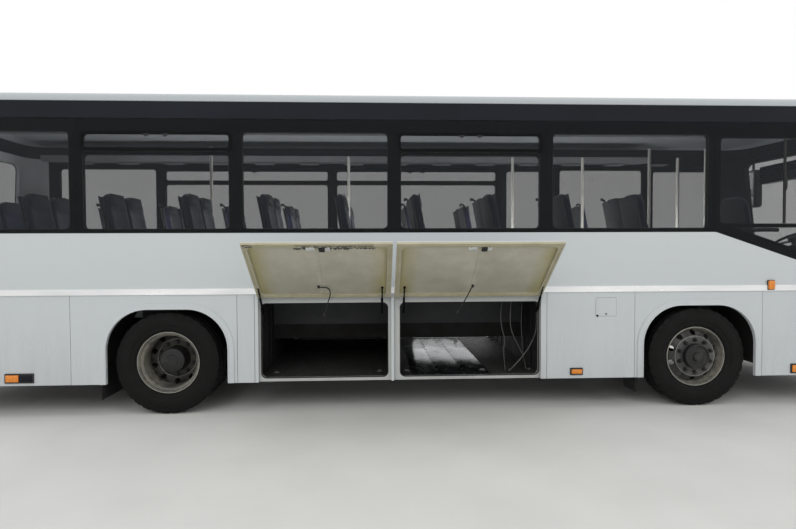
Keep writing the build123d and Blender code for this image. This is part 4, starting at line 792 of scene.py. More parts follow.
# ---- luggage bays: floor sheets, mats, ribs, lashing rings, the hoses' sleeves, opening seals
bayLook = {"floor": 0.3303, "inner": 1.13, "matHalf": 1.12, "ceiling": 1.1096, "sealY": 1.2045, "rivets": 12}
sheets = [spanBlock(span, (-bayLook["inner"], bayLook["inner"]), (bayLook["floor"], 0.3330), 0.0008)
          for span in ((-0.052, 0.214), (0.217, 0.483), (0.486, 0.752))]
for x in (-0.040, 0.205, 0.226, 0.474, 0.495, 0.740):
    for index in range(bayLook["rivets"]):
        y = -1.08 + index * 0.196
        sheets.append(rod((x, y, 0.3325), (x, y, 0.3347), 0.0065, 10, 0.001))
finish(sheets, "bayFloorSheets", "coach", bayMetal)

mats = []
for low, high in ((-1.572, -0.262), (0.757, 1.255)):
    mats.append(spanBlock((low, high), (-bayLook["matHalf"], bayLook["matHalf"]), (bayLook["floor"], 0.3345), 0.001))
    count = int((high - low) / 0.045)
    for index in range(count):
        x = low + 0.02 + index * (high - low - 0.04) / (count - 1)
        mats.append(spanBlock((x - 0.006, x + 0.006), (-1.11, 1.11), (0.334, 0.3372), 0.001))
finish(mats, "bayRubberMats", "coach", bayMat)

ribs = []
for x in (-1.40, -1.08, -0.76, -0.44, -0.06, 0.26, 0.58, 0.90, 1.16):
    for side in (-1, 1):
        ribs.append(spanBlock((x - 0.028, x + 0.028), (side * 0.40, side * bayLook["inner"]),
                              (1.088, bayLook["ceiling"]), 0.004))
for x, into in ((-1.576, 1), (-0.255, -1), (-0.225, 1), (1.259, -1)):
    for y in (-1.05, -0.80, -0.55, 0.55, 0.80, 1.05):
        ribs.append(spanBlock((x, x + into * 0.009), (y - 0.02, y + 0.02), (0.36, 1.08), 0.002))
    for z in (0.56, 0.80, 1.02):
        ribs.append(spanBlock((x, x + into * 0.006), (-bayLook["matHalf"], bayLook["matHalf"]),
                              (z - 0.012, z + 0.012), 0.002))
finish(ribs, "bayRibs", "coach", bayPaint)

rings = []
for x in (-1.45, -0.38, -0.10, 0.70, 1.20):
    for y in (-0.95, 0.95):
        rings += [block((0.06, 0.035, 0.004), (x, y, 0.3395), 0.0015), torus((x, y, 0.3465), 0.021, 0.0035, 20)]
finish(rings, "lashingRings", "coach", bareSteel)

sleeves = []
for diameter, length, route in bayHoses:
    for end, below, above, share in ((Vector(route[-1]), 0.008, 0.016, 0.8), (Vector(route[0]), 0.03, 0.004, 0.75)):
        sleeves.append(rod(end - Vector((0, 0, below)), end + Vector((0, 0, above)), diameter * share, 12, 0.002))
finish(sleeves, "bayHoseSleeves", "coach", hosePale)

bayMouths = {-1: ((-1.554, -0.296), (-0.183, 1.226)), 1: ((-1.554, -0.296), (0.102, 1.226))}
sills, liners = [], []
for side, spans in bayMouths.items():
    for low, high in spans:
        loop = roundedLoop((low + 0.003, high - 0.003), (0.341, 1.082), 0.053)
        liners.append(tubeAlong([(u, side * bayLook["sealY"], v) for u, v in loop], 0.0065, True, smooth=False))
    sills.append(spanBlock((-1.600, 1.284), (side * 1.2125, side * 1.2160), (0.3105, 0.3195), 0.001))
finish(liners, "bayMouthSeals", "coach", rubberSeal, 50)
finish(sills, "baySillStrips", "coach", framePaint)
print("bays dressed")

# ---- side windows: rubber beads, catches, driver's divider
windowLook = {"low": 1.815, "bar": 2.560, "high": 2.748, "inset": 0.066, "bead": 0.0028, "beadY": 1.2495,
              "catchY": 1.255}
panes = {
    -1: ((-4.870, -3.281, False), (-3.281, -1.770, True), (-1.770, -0.234, False), (-0.234, 1.278, True),
         (1.278, 2.992, False)),
    1: ((-4.870, -3.422, False), (-3.422, -1.025, True), (-1.025, 1.388, True), (2.192, 3.548, False)),
}
beads, catches = [], []
for side, row in panes.items():
    for low, high, hopper in row:
        top = windowLook["bar"] if hopper else windowLook["high"]
        loop = roundedLoop((low + windowLook["inset"], high - windowLook["inset"]), (windowLook["low"], top), 0.045)
        beads.append(tubeAlong([(u, side * windowLook["beadY"], v) for u, v in loop], windowLook["bead"], True,
                               smooth=False))
        if hopper:
            middle = (low + high) / 2
            for offset in (-0.09, 0.09):
                for half, outY, zSpan in ((0.03, 1.2635, (2.712, 2.730)), (0.012, 1.2655, (2.700, 2.716))):
                    catches.append(spanBlock((middle + offset - half, middle + offset + half),
                                             (side * windowLook["catchY"], side * outY), zSpan, 0.003))
beads.append(spanBlock((3.713, 3.741), (-1.252, -1.240), (1.862, 2.718), 0.003))
beads.append(spanBlock((3.728, 3.752), (-1.256, -1.246), (2.20, 2.32), 0.004))
finish(beads, "windowBeads", "coach", rubberSeal, 50)
finish(catches, "hopperCatches", "coach", darkPlastic)
print("windows dressed")

# ---- seats: cushions and backs puffed once by cloth, then copied
seatLook = {"depth": 0.428, "width": 0.412, "cushionTop": 0.118, "backHeight": 0.585, "backThick": 0.088,
            "lean": math.radians(11), "roughVoxel": 0.014, "voxel": 0.011, "pressure": 4.0, "frames": 20,
            "cap": 0.016, "faces": 2600, "channelsX": (0.13, 0.30), "channelsZ": (0.14, 0.27, 0.405),
            "cushionZ": 1.4825, "backX": 0.004, "backZ": 1.600, "places": (0.561, 0.979), "softness": 0.75}


def puffed(pad, isHeld):
    # the cover swells under pressure between its held seams; each point's travel is capped
    applyModifier(pad, "REMESH", mode="VOXEL", voxel_size=seatLook["voxel"])
    before = [point.co.copy() for point in pad.data.vertices]
    group = pad.vertex_groups.new(name="seams")
    group.add([p.index for p in pad.data.vertices if isHeld(p.co)], 1.0, "REPLACE")
    pick(pad)
    cloth = pad.modifiers.new("cloth", "CLOTH")
    cloth.settings.use_pressure = True
    cloth.settings.uniform_pressure_force = seatLook["pressure"]
    cloth.settings.vertex_group_mass = "seams"
    cloth.settings.effector_weights.gravity = 0
    cloth.point_cache.frame_end = seatLook["frames"]
    for number in range(1, seatLook["frames"] + 1):
        bpy.context.scene.frame_set(number)
    bpy.ops.object.modifier_apply(modifier=cloth.name)
    for point, start in zip(pad.data.vertices, before):
        travel = point.co - start
        if travel.length > seatLook["cap"]:
            point.co = start + travel.normalized() * seatLook["cap"]
    bpy.context.scene.frame_set(1)
    applyModifier(pad, "SMOOTH", factor=0.5, iterations=3)
    share = min(1.0, seatLook["faces"] / max(1, 2 * len(pad.data.polygons)))
    applyModifier(pad, "DECIMATE", ratio=share)
    return pad


def makeCushion():
    # crowned block, drawn in at the sides, with two cross channels and a welt
    depth, width, height = seatLook["depth"], seatLook["width"] - 0.012, seatLook["cushionTop"]
    pad = block((depth - 0.02, width, height - 0.016), (depth / 2, 0, (height - 0.016) / 2), 0.030, segments=3)
    applyModifier(pad, "REMESH", mode="VOXEL", voxel_size=seatLook["roughVoxel"])
    for point in pad.data.vertices:
        x, y, z = point.co
        rise = z / height
        point.co.z += 0.010 * rise * (1 - (2 * y / width) ** 2) * math.sin(math.pi * min(1, max(0, x / depth)))
        point.co.y *= 1 - 0.03 * (1 - rise)
        if rise > 0.75:
            for channel in seatLook["channelsX"]:
                point.co.z -= 0.010 * math.exp(-((x - channel) / 0.009) ** 2)

    def isHeld(place):
        nearChannel = min(abs(place.x - channel) for channel in seatLook["channelsX"]) < 0.010
        return place.z < 0.012 or nearChannel or abs(place.z - height * 0.55) < 0.006

    return puffed(pad, isHeld)


def makeBack():
    # back with bolsters, a lumbar swell and a rounded head
    width, height, thick = seatLook["width"] - 0.010, seatLook["backHeight"], seatLook["backThick"]
    pad = block((thick - 0.016, width, height - 0.008), (thick / 2, 0, height / 2), 0.028, segments=3)
    applyModifier(pad, "REMESH", mode="VOXEL", voxel_size=seatLook["roughVoxel"])
    for point in pad.data.vertices:
        x, y, z = point.co
        upward = z / height
        front = x / thick
        shoulder = 1 - 0.16 * max(0, (upward - 0.72) / 0.28) ** 2
        point.co.y = y * shoulder
        point.co.z -= 0.05 * max(0, upward - 0.8) / 0.2 * (2 * y / width) ** 4
        point.co.x -= 0.018 * front * (1 - (2 * y / width) ** 2) * (0.3 + 0.7 * (upward < 0.7))
        if front > 0.6:
            for channel in seatLook["channelsZ"]:
                point.co.x -= 0.009 * math.exp(-((z - channel) / 0.008) ** 2)

    def isHeld(place):
        nearChannel = min(abs(place.z - channel) for channel in seatLook["channelsZ"]) < 0.009
        return place.x < 0.012 or (nearChannel and place.x > thick * 0.5)

    return placed(puffed(pad, isHeld), leaning)


def seatAt(x, y, stretch):
    # where the cushion and the back of a seat go
    wide = Matrix.Translation((x, y, 0)) @ Matrix.Diagonal((1, stretch, 1, 1))
    return (Matrix.Translation((0, 0, seatLook["cushionZ"])) @ wide,
            Matrix.Translation((seatLook["backX"], 0, seatLook["backZ"])) @ wide)


leaning = Matrix.Rotation(-seatLook["lean"], 4, "Y")
rowsX = {-1: (2.330, 1.568, 0.806, 0.044, -0.718, -1.480, -2.242, -3.004, -3.766),
         1: (2.330, 0.806, 0.044, -0.718, -1.480, -2.242, -3.004, -3.766)}
seatSpots = [(x, side * y, 1.0) for side, row in rowsX.items() for x in row for y in seatLook["places"]]
seatSpots += [(-4.640, -0.950 + 0.475 * index, 1.13) for index in range(5)]
cushionModel, backModel = makeCushion(), makeBack()
shellModel = placed([block((0.010, 0.400, 0.54), (-0.006, 0, 0.28), 0.0045),
                     block((0.012, 0.300, 0.16), (-0.013, 0, 0.26), 0.005),
                     block((0.022, 0.404, 0.05), (-0.002, 0, 0.02), 0.008)], leaning)
headModel = placed(block((0.006, 0.28, 0.13), (seatLook["backThick"] - 0.002, 0, 0.50), 0.0028, segments=3),
                   leaning)
cushions, backs, shells, frames, vinyls = [], [], [], [], []
for x, y, stretch in seatSpots:
    cushionPlace, backPlace = seatAt(x, y, stretch)
    cushions.append(copyPiece(cushionModel, cushionPlace))
    for group, model in ((backs, backModel), (shells, shellModel), (vinyls, headModel)):
        group.append(copyPiece(model, backPlace))
for side, row in rowsX.items():
    for x in row:
        frames.append(spanBlock((x + 0.095, x + 0.175), (side * 0.565, side * 0.975), (1.150, 1.470), 0.012))
        frames.append(spanBlock((x + 0.01, x + 0.42), (side * 0.37, side * 1.17), (1.466, 1.484), 0.006))
        y = side * 0.358
        frames.append(tubeAlong([(x + 0.02, y, 1.78), (x + 0.12, y, 1.79), (x + 0.30, y, 1.785)], 0.018))
        frames.append(rod((x + 0.03, y, 1.49), (x + 0.03, y, 1.785), 0.012, 12))
        frames.append(tubeAlong([(x - 0.125, side * 0.40, 2.165), (x - 0.135, side * 0.372, 2.19),
                                 (x - 0.09, side * 0.356, 2.18), (x - 0.06, side * 0.362, 2.13)], 0.011))
frames.append(spanBlock((-4.63, -4.22), (-1.18, 1.18), (1.150, 1.478), 0.015))
allCushions = finish(cushions, "seatCushionPads", "coach", seatFabric, 60)
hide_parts("seat_cushions")
allBacks = finish(backs, "seatBackPads", "coach", seatFabric, 60)
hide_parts("seat_backs")
finish(shells, "seatShells", "coach", greyPlastic)
finish(vinyls, "headrestPatches", "coach", headrestVinyl)
finish(frames, "seatFrames", "coach", darkPlastic)
print("seats made")

# ---- driver's place
driverLook = {"x": 3.640, "y": -0.650, "stretch": 1.16, "bellows": 5, "softness": 0.8}
cushionPlace, backPlace = seatAt(driverLook["x"], driverLook["y"], driverLook["stretch"])
driverPads = [copyPiece(cushionModel, cushionPlace), copyPiece(backModel, backPlace)]
driverFrame = [copyPiece(shellModel, backPlace)]
for model in (cushionModel, backModel, shellModel, headModel):
    bpy.data.objects.remove(model)
for index in range(driverLook["bellows"]):
    shrink = 0.012 * (index % 2)
    low = 1.235 + index * 0.045
    driverFrame.append(spanBlock((3.735 + shrink, 3.985 - shrink), (-0.775 + shrink, -0.525 - shrink),
                                 (low, low + 0.044), 0.012))
driverFrame.append(spanBlock((3.70, 4.02), (-0.80, -0.50), (1.150, 1.238), 0.012))
driverFrame.append(spanBlock((3.66, 4.05), (-0.86, -0.44), (1.455, 1.484), 0.008))
for y in (-0.895, -0.405):
    driverFrame.append(tubeAlong([(3.62, y, 1.80), (3.74, y, 1.812), (3.93, y, 1.805)], 0.022))
    driverFrame.append(rod((3.64, y, 1.56), (3.64, y, 1.80), 0.014, 14))
pads = finish(driverPads, "driverSeatPads", "coach", seatFabric, 60)
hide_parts("driver_seat")
finish(driverFrame, "driverSeatFrame", "coach", darkPlastic)

binnacle = [block((0.17, 0.46, 0.15), (4.685, -0.65, 1.445), 0.035, segments=4),
            block((0.10, 0.52, 0.035), (4.69, -0.65, 1.525), 0.014, segments=3),
            block((0.30, 0.34, 0.10), (4.86, 0.05, 1.430), 0.025, segments=3),
            spanBlock((4.74, 5.06), (-1.02, 1.02), (1.352, 1.372), 0.008)]
finish(binnacle, "dashBinnacle", "coach", darkPlastic)
dials = []
for y, radius in ((-0.755, 0.055), (-0.615, 0.055), (-0.505, 0.03)):
    dials.append(rod((4.602, y, 1.455), (4.597, y, 1.455), radius, 32, 0.0015))
    dials.append(rod((4.598, y, 1.455), (4.5935, y, 1.455), radius * 0.15, 16, 0.001))
for row in range(3):
    for column in range(7):
        dials.append(block((0.008, 0.034, 0.022), (4.709, -0.10 + column * 0.045, 1.405 + row * 0.030), 0.003))
finish(dials, "dashDials", "coach", greyPlastic)
stalks = [rod((4.39, near, 1.60), (4.41, far, 1.615), 0.008, 12, 0.002)
          for near, far in ((-0.70, -0.83), (-0.60, -0.47))]
finish(stalks, "columnStalks", "coach", darkPlastic)
print("driver's place made")

# ---- small lamps on the sides
sideFace = 1.250
sideLamps = (  # side, x span, z span, has a dark half
    (-1, (-3.978, -3.715), (0.339, 0.424), True), (-1, (1.530, 1.651), (0.347, 0.410), False),
    (-1, (3.817, 4.042), (0.334, 0.424), True), (1, (-3.978, -3.715), (0.339, 0.424), True),
)
bezels, lenses, darkLenses = [], [], []
for side, (low, high), (foot, top), hasDarkHalf in sideLamps:
    seat = side * sideFace
    middle = (low + high) / 2
    lensEnd = middle if hasDarkHalf else high - 0.006
    bezels.append(spanBlock((low - 0.004, high + 0.004), (seat - side * 0.02, seat + side * 0.0145),
                            (foot - 0.004, top + 0.004), 0.005))
    lenses.append(spanBlock((low + 0.008, lensEnd), (seat, seat + side * 0.0205), (foot + 0.009, top - 0.009), 0.005))
    lenses.append(spanBlock((low + 0.03, low + 0.07), (seat, seat + side * 0.0225), (foot + 0.02, top - 0.02), 0.006))
    if hasDarkHalf:
        darkLenses.append(spanBlock((middle + 0.003, high - 0.008), (seat, seat + side * 0.0195),
                                    (foot + 0.010, top - 0.010), 0.004))
for side, low, high in ((-1, 3.556, 3.623), (1, 2.900, 2.967)):
    lenses.append(block((high - low, 0.026, 0.092), ((low + high) / 2, side * 1.270, 1.2350), 0.012, segments=4))
    bezels.append(block((high - low + 0.010, 0.018, 0.102), ((low + high) / 2, side * 1.2605, 1.2350), 0.008,
                        segments=3))
finish(lenses, "sideLampLenses", "coach", amberLens)
bezelPiece = finish(bezels, "sideLampBezels", "coach", darkPlastic)
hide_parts("marker_lamps")
finish(darkLenses, "sideLampReflectors", "coach", blackBand)

notch = block((0.022, 0.006, 0.022), (1.803, -1.2515, 0.937), 0.002, turn=(0, math.radians(45), 0))
finish(notch, "flapFingerNotch", "coach", rubberSeal)
flapLock = joinPieces([rod((1.893, -1.249, 0.955), (1.893, -1.2545, 0.955), 0.010, 20, 0.001),
                       spanBlock((1.8905, 1.8955), (-1.2555, -1.2535), (0.949, 0.961), 0.0004)])
finish(flapLock, "fuelFlapLock", "fuel_flap", bareSteel)


# ---- lines that hug the body's skin
def hug(u, v, direction, names, lift):
    # the point on the named solids that a ray from outside meets first, lifted off the skin
    start, aim = {"X": ((8, u, v), (-1, 0, 0)), "-X": ((-8, u, v), (1, 0, 0)),
                  "Z": ((u, v, 6), (0, 0, -1))}[direction]
    start, aim = Vector(start), Vector(aim)
    best, bestNormal = None, None
    for name in names:
        found, spot, normal, _ = nodes[name].ray_cast(start, aim)
        if found and (best is None or (spot - start).length < (best - start).length):
            best, bestNormal = spot.copy(), normal.copy()
    if best is None:
        return None, None
    return best + bestNormal * lift, bestNormal


def hugTube(pairs, direction, names, radius, lift=0.0, closed=False):
    points = [hug(u, v, direction, names, lift)[0] for u, v in pairs]
    points = [point for point in points if point is not None]
    return tubeAlong(points, radius, closed, smooth=False)


def denseLoop(ySpan, zSpan, corner):
    # rounded loop with its straight runs divided, so that it can follow a bowed face
    corners = roundedLoop(ySpan, zSpan, corner)
    points = []
    for start, end in zip(corners, corners[1:] + corners[:1]):
        count = max(1, int(math.dist(start, end) / 0.12))
        points += [(start[0] + (end[0] - start[0]) * i / count, start[1] + (end[1] - start[1]) * i / count)
                   for i in range(count)]
    return points


def faceOn(spot, normal):
    # frame whose Z points out of the skin and whose Y stays upright
    up = Vector((0, 0, 1)) if abs(normal.z) < 0.9 else Vector((1, 0, 0))
    right = up.cross(normal).normalized()
    return fromAxes(right, normal.cross(right), normal, spot)


frontSkin = ("front_panel", "front_pillars", "windscreen", "bumpers", "headlamps")
rearSkin = ("rear_panel", "rear_window", "bumpers", "engine_cover", "tail_lamps")
trims = [hugTube(denseLoop(ySpan, zSpan, 0.09), direction, names, 0.0065, 0.001, True)
         for ySpan, zSpan, direction, names in (
             ((-1.120, 1.120), (1.390, 2.830), "X", ("front_pillars", "windscreen")),
             ((-0.960, 0.960), (1.930, 2.760), "-X", ("rear_panel", "rear_window")))]
for z in (1.362, 1.335):
    trims.append(hugTube([(y / 20, z) for y in range(-22, 23)], "X", ("front_panel",), 0.004, 0.001))
finish(trims, "screenSeals", "coach", rubberSeal, 50)

bars = [hugTube([(y / 20, 0.950 + 0.060 * index) for y in range(-9, 10)], "X", ("front_panel",), 0.0045, 0.001)
        for index in range(4)]
for z in (0.565, 0.900, 1.215):
    bars.append(hugTube([(y / 20, z) for y in range(-13, 14)], "X", ("front_panel",), 0.003, 0.0))
finish(bars, "noseTrimBars", "coach", bareSteel, 50)

# ---- headlamps and tail lamps: each unit is a bowl, a bezel ring and a lens on the skin
headlampLook = {"z": 0.735, "places": (0.838, 0.985), "radius": 0.068, "fins": 8}
radius = headlampLook["radius"]
bowls, rings, domes, amberUnits = [], [], [], []
for side in (-1, 1):
    for y in headlampLook["places"]:
        spot, normal = hug(side * y, headlampLook["z"], "X", frontSkin, 0.0)
        toSkin = faceOn(spot, normal)
        rings.append(placed(torus((0, 0, 0), radius, 0.006, 40), toSkin @ Matrix.Translation((0, 0, 0.002))))
        leaveAll()
        bpy.ops.mesh.primitive_uv_sphere_add(segments=32, ring_count=16, radius=radius - 0.004)
        dome = bpy.context.object
        dome.data.transform(Matrix.Diagonal((1, 1, 0.16, 1)))
        domes.append(placed(dome, toSkin @ Matrix.Translation((0, 0, -0.001))))
        bowls.append(placed(rod((0, 0, -0.002), (0, 0, 0.0022), radius * 0.42, 24, 0.001), toSkin))
        for turn in range(headlampLook["fins"]):
            angle = math.tau * turn / headlampLook["fins"]
            fin = block((0.004, radius * 0.5, 0.003), (0, radius * 0.68, 0.0012), 0.0008)
            bowls.append(placed(fin, toSkin @ Matrix.Rotation(angle, 4, "Z")))
    spot, normal = hug(side * 1.062, headlampLook["z"], "X", frontSkin, 0.0)
    amberUnits.append(placed(block((0.026, 0.15, 0.012), (0, 0, 0.002), 0.004), faceOn(spot, normal)))
finish(domes, "headlampLenses", "coach", lampGlass, 60)
finish(rings, "headlampRings", "coach", bareSteel, 60)
finish(bowls, "headlampBowls", "coach", mirrorFace)
redUnits, whiteUnits, lampFrames = [], [], []
for side in (-1, 1):
    for z, height, group in ((1.245, 0.11, amberUnits), (1.115, 0.12, redUnits), (0.985, 0.10, whiteUnits),
                             (0.855, 0.13, redUnits)):
        spot, normal = hug(side * 1.035, z, "-X", rearSkin, 0.0)
        toSkin = faceOn(spot, normal)
        group.append(placed(block((0.100, height - 0.012, 0.014), (0, 0, 0.003), 0.006, segments=3), toSkin))
        lampFrames.append(placed(block((0.116, height + 0.004, 0.008), (0, 0, 0.001), 0.003), toSkin))
spot, normal = hug(0.0, 2.815, "-X", ("rear_panel", "upper_band"), 0.0)
redUnits.append(placed(block((0.42, 0.032, 0.014), (0, 0, 0.004), 0.005), faceOn(spot, normal)))
finish(amberUnits, "indicatorLenses", "coach", orangeLens)
finish(redUnits, "tailLenses", "coach", redLens)
finish(whiteUnits, "reversingLenses", "coach", whiteLens)
finish(lampFrames, "tailLampFrames", "coach", darkPlastic)

# ---- plates left blank, engine cover's catches, tail pipe
plates, plateFrames = [], []
for direction, z, skin in (("X", 0.455, frontSkin), ("-X", 0.500, rearSkin)):
    spot, normal = hug(0.0, z, direction, skin, 0.0)
    toSkin = faceOn(spot, normal)
    plateFrames.append(placed(block((0.540, 0.128, 0.010), (0, 0, 0.003), 0.004), toSkin))
    plates.append(placed(block((0.520, 0.110, 0.005), (0, 0, 0.0095), 0.002), toSkin))
finish(plates, "blankPlates", "coach", plateBlank)
finish(plateFrames, "plateFrames", "coach", darkPlastic)
coverBits = []
for y in (-0.55, 0.55):
    spot, normal = hug(y, 0.72, "-X", ("engine_cover",), 0.0)
    toSkin = faceOn(spot, normal)
    coverBits.append(placed(block((0.16, 0.06, 0.010), (0, 0, 0.002), 0.004, segments=3), toSkin))
    coverBits.append(placed(block((0.11, 0.03, 0.010), (0, 0.004, 0.011), 0.004, segments=3), toSkin))
    coverBits.append(placed(rod((0.066, 0, 0.004), (0.066, 0, 0.011), 0.009, 16, 0.001), toSkin))
finish(coverBits, "engineCoverCatches", "engine_cover", darkPlastic)
pipeProfile = [(0, 50), (0, 54), (160, 54), (160, 50), (4, 49), (0, 50)]
pipe = lathe(pipeProfile, (0, 0, 0), 32)
pipe.data.transform(Matrix.Translation((-5.060, 0.70, 0.350)) @ Matrix.Rotation(math.radians(-90), 4, "Z"))
finish(pipe, "tailPipe", "coach", castIron)
print("ends dressed")

# ---- mirrors, gutter, arch lips, mud flaps, roof seams, air tanks
glassFaces, glassRims = [], []
for side in (-1, 1):
    for z, height in ((2.575, 0.33), (2.315, 0.13)):
        glassRims.append(block((0.012, 0.226, height + 0.026), (5.2205, side * 1.400, z), 0.005))
        glassFaces.append(block((0.008, 0.204, height), (5.2150, side * 1.400, z), 0.003))
finish(glassFaces, "mirrorGlasses", "coach", mirrorFace)
finish(glassRims, "mirrorRims", "coach", bareSteel)

archLook = {"behind": 0.574, "ahead": 0.593, "play": 0.005, "corner": 0.40, "top": 1.040, "foot": 0.312,
            "knee": 0.45, "lipY": 1.2555, "tube": 0.0085, "steps": 12}
gutters, lips = [], []
for side in (-1, 1):
    gutters.append(rod((-4.94, side * 1.2495, 3.046), (4.59, side * 1.2495, 3.046), 0.0065, 10))
    for axleX in (wheelShape["rearX"], wheelShape["frontX"]):
        low, high = axleX - archLook["behind"] - archLook["play"], axleX + archLook["ahead"] + archLook["play"]
        corner = archLook["corner"]
        path = [(low, archLook["foot"]), (low, archLook["knee"])]
        for centreX, start in ((low + corner, 180), (high - corner, 90)):
            for step in range(archLook["steps"] + 1):
                angle = math.radians(start - 90 * step / archLook["steps"])
                path.append((centreX + corner * math.cos(angle), archLook["top"] - corner + corner * math.sin(angle)))
        path += [(high, archLook["knee"]), (high, archLook["foot"])]
        lips.append(tubeAlong([(x, side * archLook["lipY"], z) for x, z in path], archLook["tube"], smooth=False))
finish(gutters, "roofGutters", "coach", roofPaint, 50)
finish(lips, "archLips", "coach", whitePaint, 50)

flaps = []
for side in (-1, 1):
    for x, span in ((wheelShape["rearX"] - 0.630, (0.62, 1.22)), (wheelShape["frontX"] - 0.634, (0.95, 1.22))):
        flaps.append(spanBlock((x - 0.003, x + 0.003), (side * span[0], side * span[1]), (0.150, 0.470), 0.001))
        for z in (0.19, 0.25, 0.31):
            flaps.append(spanBlock((x - 0.0055, x + 0.0055), (side * (span[0] + 0.03), side * (span[1] - 0.03)),
                                   (z, z + 0.012), 0.002))
finish(flaps, "mudFlaps", "coach", rubberSeal)
bracket = joinPieces([block((0.07, 0.05, 0.006), (3.36, -0.98, 0.425), 0.002),
                      block((0.006, 0.05, 0.06), (3.392, -0.98, 0.450), 0.002),
                      rod((3.35, -0.98, 0.420), (3.35, -0.98, 0.437), 0.009, 6, 0.001)])
finish(bracket, "archBracket", "coach", bareSteel)

seams = []
for x in (-4.70, -3.35, -1.78, -0.24, 1.27, 2.98, 4.40):
    seams.append(hugTube([(x, y / 24) for y in range(-26, 27)], "Z", ("roof_shell",), 0.004, -0.001))
finish(seams, "roofSeams", "coach", roofPaint, 50)
vents = []
for x, y in ((-0.9, 0.0), (0.7, 0.0), (3.6, 0.0)):
    spot, normal = hug(x, y, "Z", ("roof_shell",), 0.0)
    toSkin = faceOn(spot, normal)
    vents.append(placed(block((0.34, 0.30, 0.020), (0, 0, 0.006), 0.009, segments=3), toSkin))
    vents.append(placed(block((0.26, 0.22, 0.012), (0, 0, 0.018), 0.006, segments=3), toSkin))
finish(vents, "roofVents", "coach", roofPaint)

tanks = []
for side in (-1, 1):
    for y in (0.62, 0.90):
        middle = Vector((1.74, side * y, 0.52))
        tanks.append(rod(middle - Vector((0.30, 0, 0)), middle + Vector((0.30, 0, 0)), 0.110, 28, 0.035))
        for x in (-0.18, 0.18):
            tanks.append(rod(middle + Vector((x - 0.012, 0, 0)), middle + Vector((x + 0.012, 0, 0)), 0.1135, 28, 0.001))
            tanks.append(spanBlock((1.74 + x - 0.012, 1.74 + x + 0.012), (side * y - 0.012, side * y + 0.012),
                                   (0.62, 0.80), 0.002))
finish(tanks, "airTanks", "coach", underseal)

# ---- passenger doors' rubbers and handles, racks' rails and service panels, sign box
rubbers, grips = [], []
for low, high in ((1.400, 2.180), (3.560, 4.540)):
    middle = (low + high) / 2
    if high - low > 0.9:
        rubbers.append(rod((middle, 1.2490, 0.36), (middle, 1.2490, 2.78), 0.007, 12))
    for x in (low + 0.006, high - 0.006):
        rubbers.append(rod((x, 1.2480, 0.36), (x, 1.2480, 2.79), 0.005, 12))
    grips.append(block((0.09, 0.012, 0.14), (high - 0.11, 1.2540, 1.40), 0.005, segments=3))
    grips.append(block((0.05, 0.014, 0.03), (high - 0.11, 1.2590, 1.41), 0.005, segments=3))
finish(rubbers, "doorRubbers", "coach", rubberSeal, 50)
finish(grips, "doorHandles", "coach", darkPlastic)
racks, panels = [], []
for side in (-1, 1):
    racks.append(rod((-4.84, side * 0.868, 2.862), (3.39, side * 0.868, 2.862), 0.010, 12))
    for index in range(14):
        x = -4.70 + index * 0.615
        racks.append(rod((x, side * 0.868, 2.835), (x, side * 0.868, 2.862), 0.006, 8))
        panels.append(block((0.26, 0.15, 0.012), (x + 0.3, side * 1.02, 2.795), 0.004))
        for offset in (-0.05, 0.05):
            panels.append(rod((x + 0.3 + offset, side * 1.02, 2.791), (x + 0.3 + offset, side * 1.02, 2.784), 0.018,
                              14, 0.002))
finish(racks, "rackRails", "coach", railCoat)
finish(panels, "servicePanels", "coach", rackPlastic)
signSpot, _ = hug(0.0, 2.62, "X", ("windscreen",), 0.0)
sign = joinPieces([spanBlock((signSpot.x - 0.20, signSpot.x - 0.085), (-0.82, 0.82), (2.50, 2.74), 0.012),
                   spanBlock((signSpot.x - 0.086, signSpot.x - 0.081), (-0.78, 0.78), (2.53, 2.71), 0.001)])
finish(sign, "blankSignBox", "coach", blackBand)
# a dark strip in the gap under each luggage door's hinge: painted shade of the hinge gap, made as a rubber strip
hingeGapShadeStrips = []
for side, low, high in ((-1, -1.560, -0.278), (-1, -0.232, 1.220), (1, -1.560, -0.246), (1, 0.066, 1.256)):
    hingeGapShadeStrips.append(spanBlock((low, high), (side * 1.2122, side * 1.2158), (1.140, 1.157), 0.001))
finish(hingeGapShadeStrips, "hingeGapShadeStrips", "coach", rubberSeal)
print("fittings made")

# ---- engine dressing behind the cover
engineBits, engineDark = [], []
for y, z, radius in ((0.0, 0.62, 0.115), (0.17, 0.86, 0.075), (-0.17, 0.88, 0.065), (0.02, 0.97, 0.05)):
    engineBits += [rod((-4.902, y, z), (-4.960, y, z), radius, 32, 0.004),
                   rod((-4.955, y, z), (-4.972, y, z), radius * 0.45, 20, 0.003)]
belt = [(0.0, 0.502), (0.115, 0.60), (0.243, 0.83), (0.20, 0.93), (0.03, 1.022), (-0.19, 0.945), (-0.234, 0.87),
        (-0.112, 0.59)]
engineDark.append(tubeAlong([(-4.945, y, z) for y, z in belt], 0.011, True, smooth=False))
for index in range(5):
    y = -0.20 + index * 0.10
    engineBits.append(spanBlock((-4.86, -3.78), (y - 0.022, y + 0.022), (1.058, 1.090), 0.010))
engineBits.append(rod((-5.02, 0.10, 1.27), (-5.02, 0.62, 1.27), 0.115, 32, 0.02))
for y in (0.16, 0.36, 0.56):
    engineDark.append(rod((-5.02, y - 0.012, 1.27), (-5.02, y + 0.012, 1.27), 0.119, 32, 0.002))
engineHoses = (  # radius, points of the route
    (0.045, ((-5.02, 0.10, 1.27), (-5.02, -0.02, 1.27), (-4.98, -0.08, 1.20), (-4.86, -0.08, 1.09))),
    (0.026, ((-4.93, -0.22, 0.70), (-5.04, -0.36, 0.72), (-5.06, -0.52, 0.90), (-5.02, -0.56, 1.12))),
    (0.020, ((-4.93, 0.24, 0.66), (-5.02, 0.40, 0.70), (-5.04, 0.52, 0.86), (-5.02, 0.50, 1.16))),
)
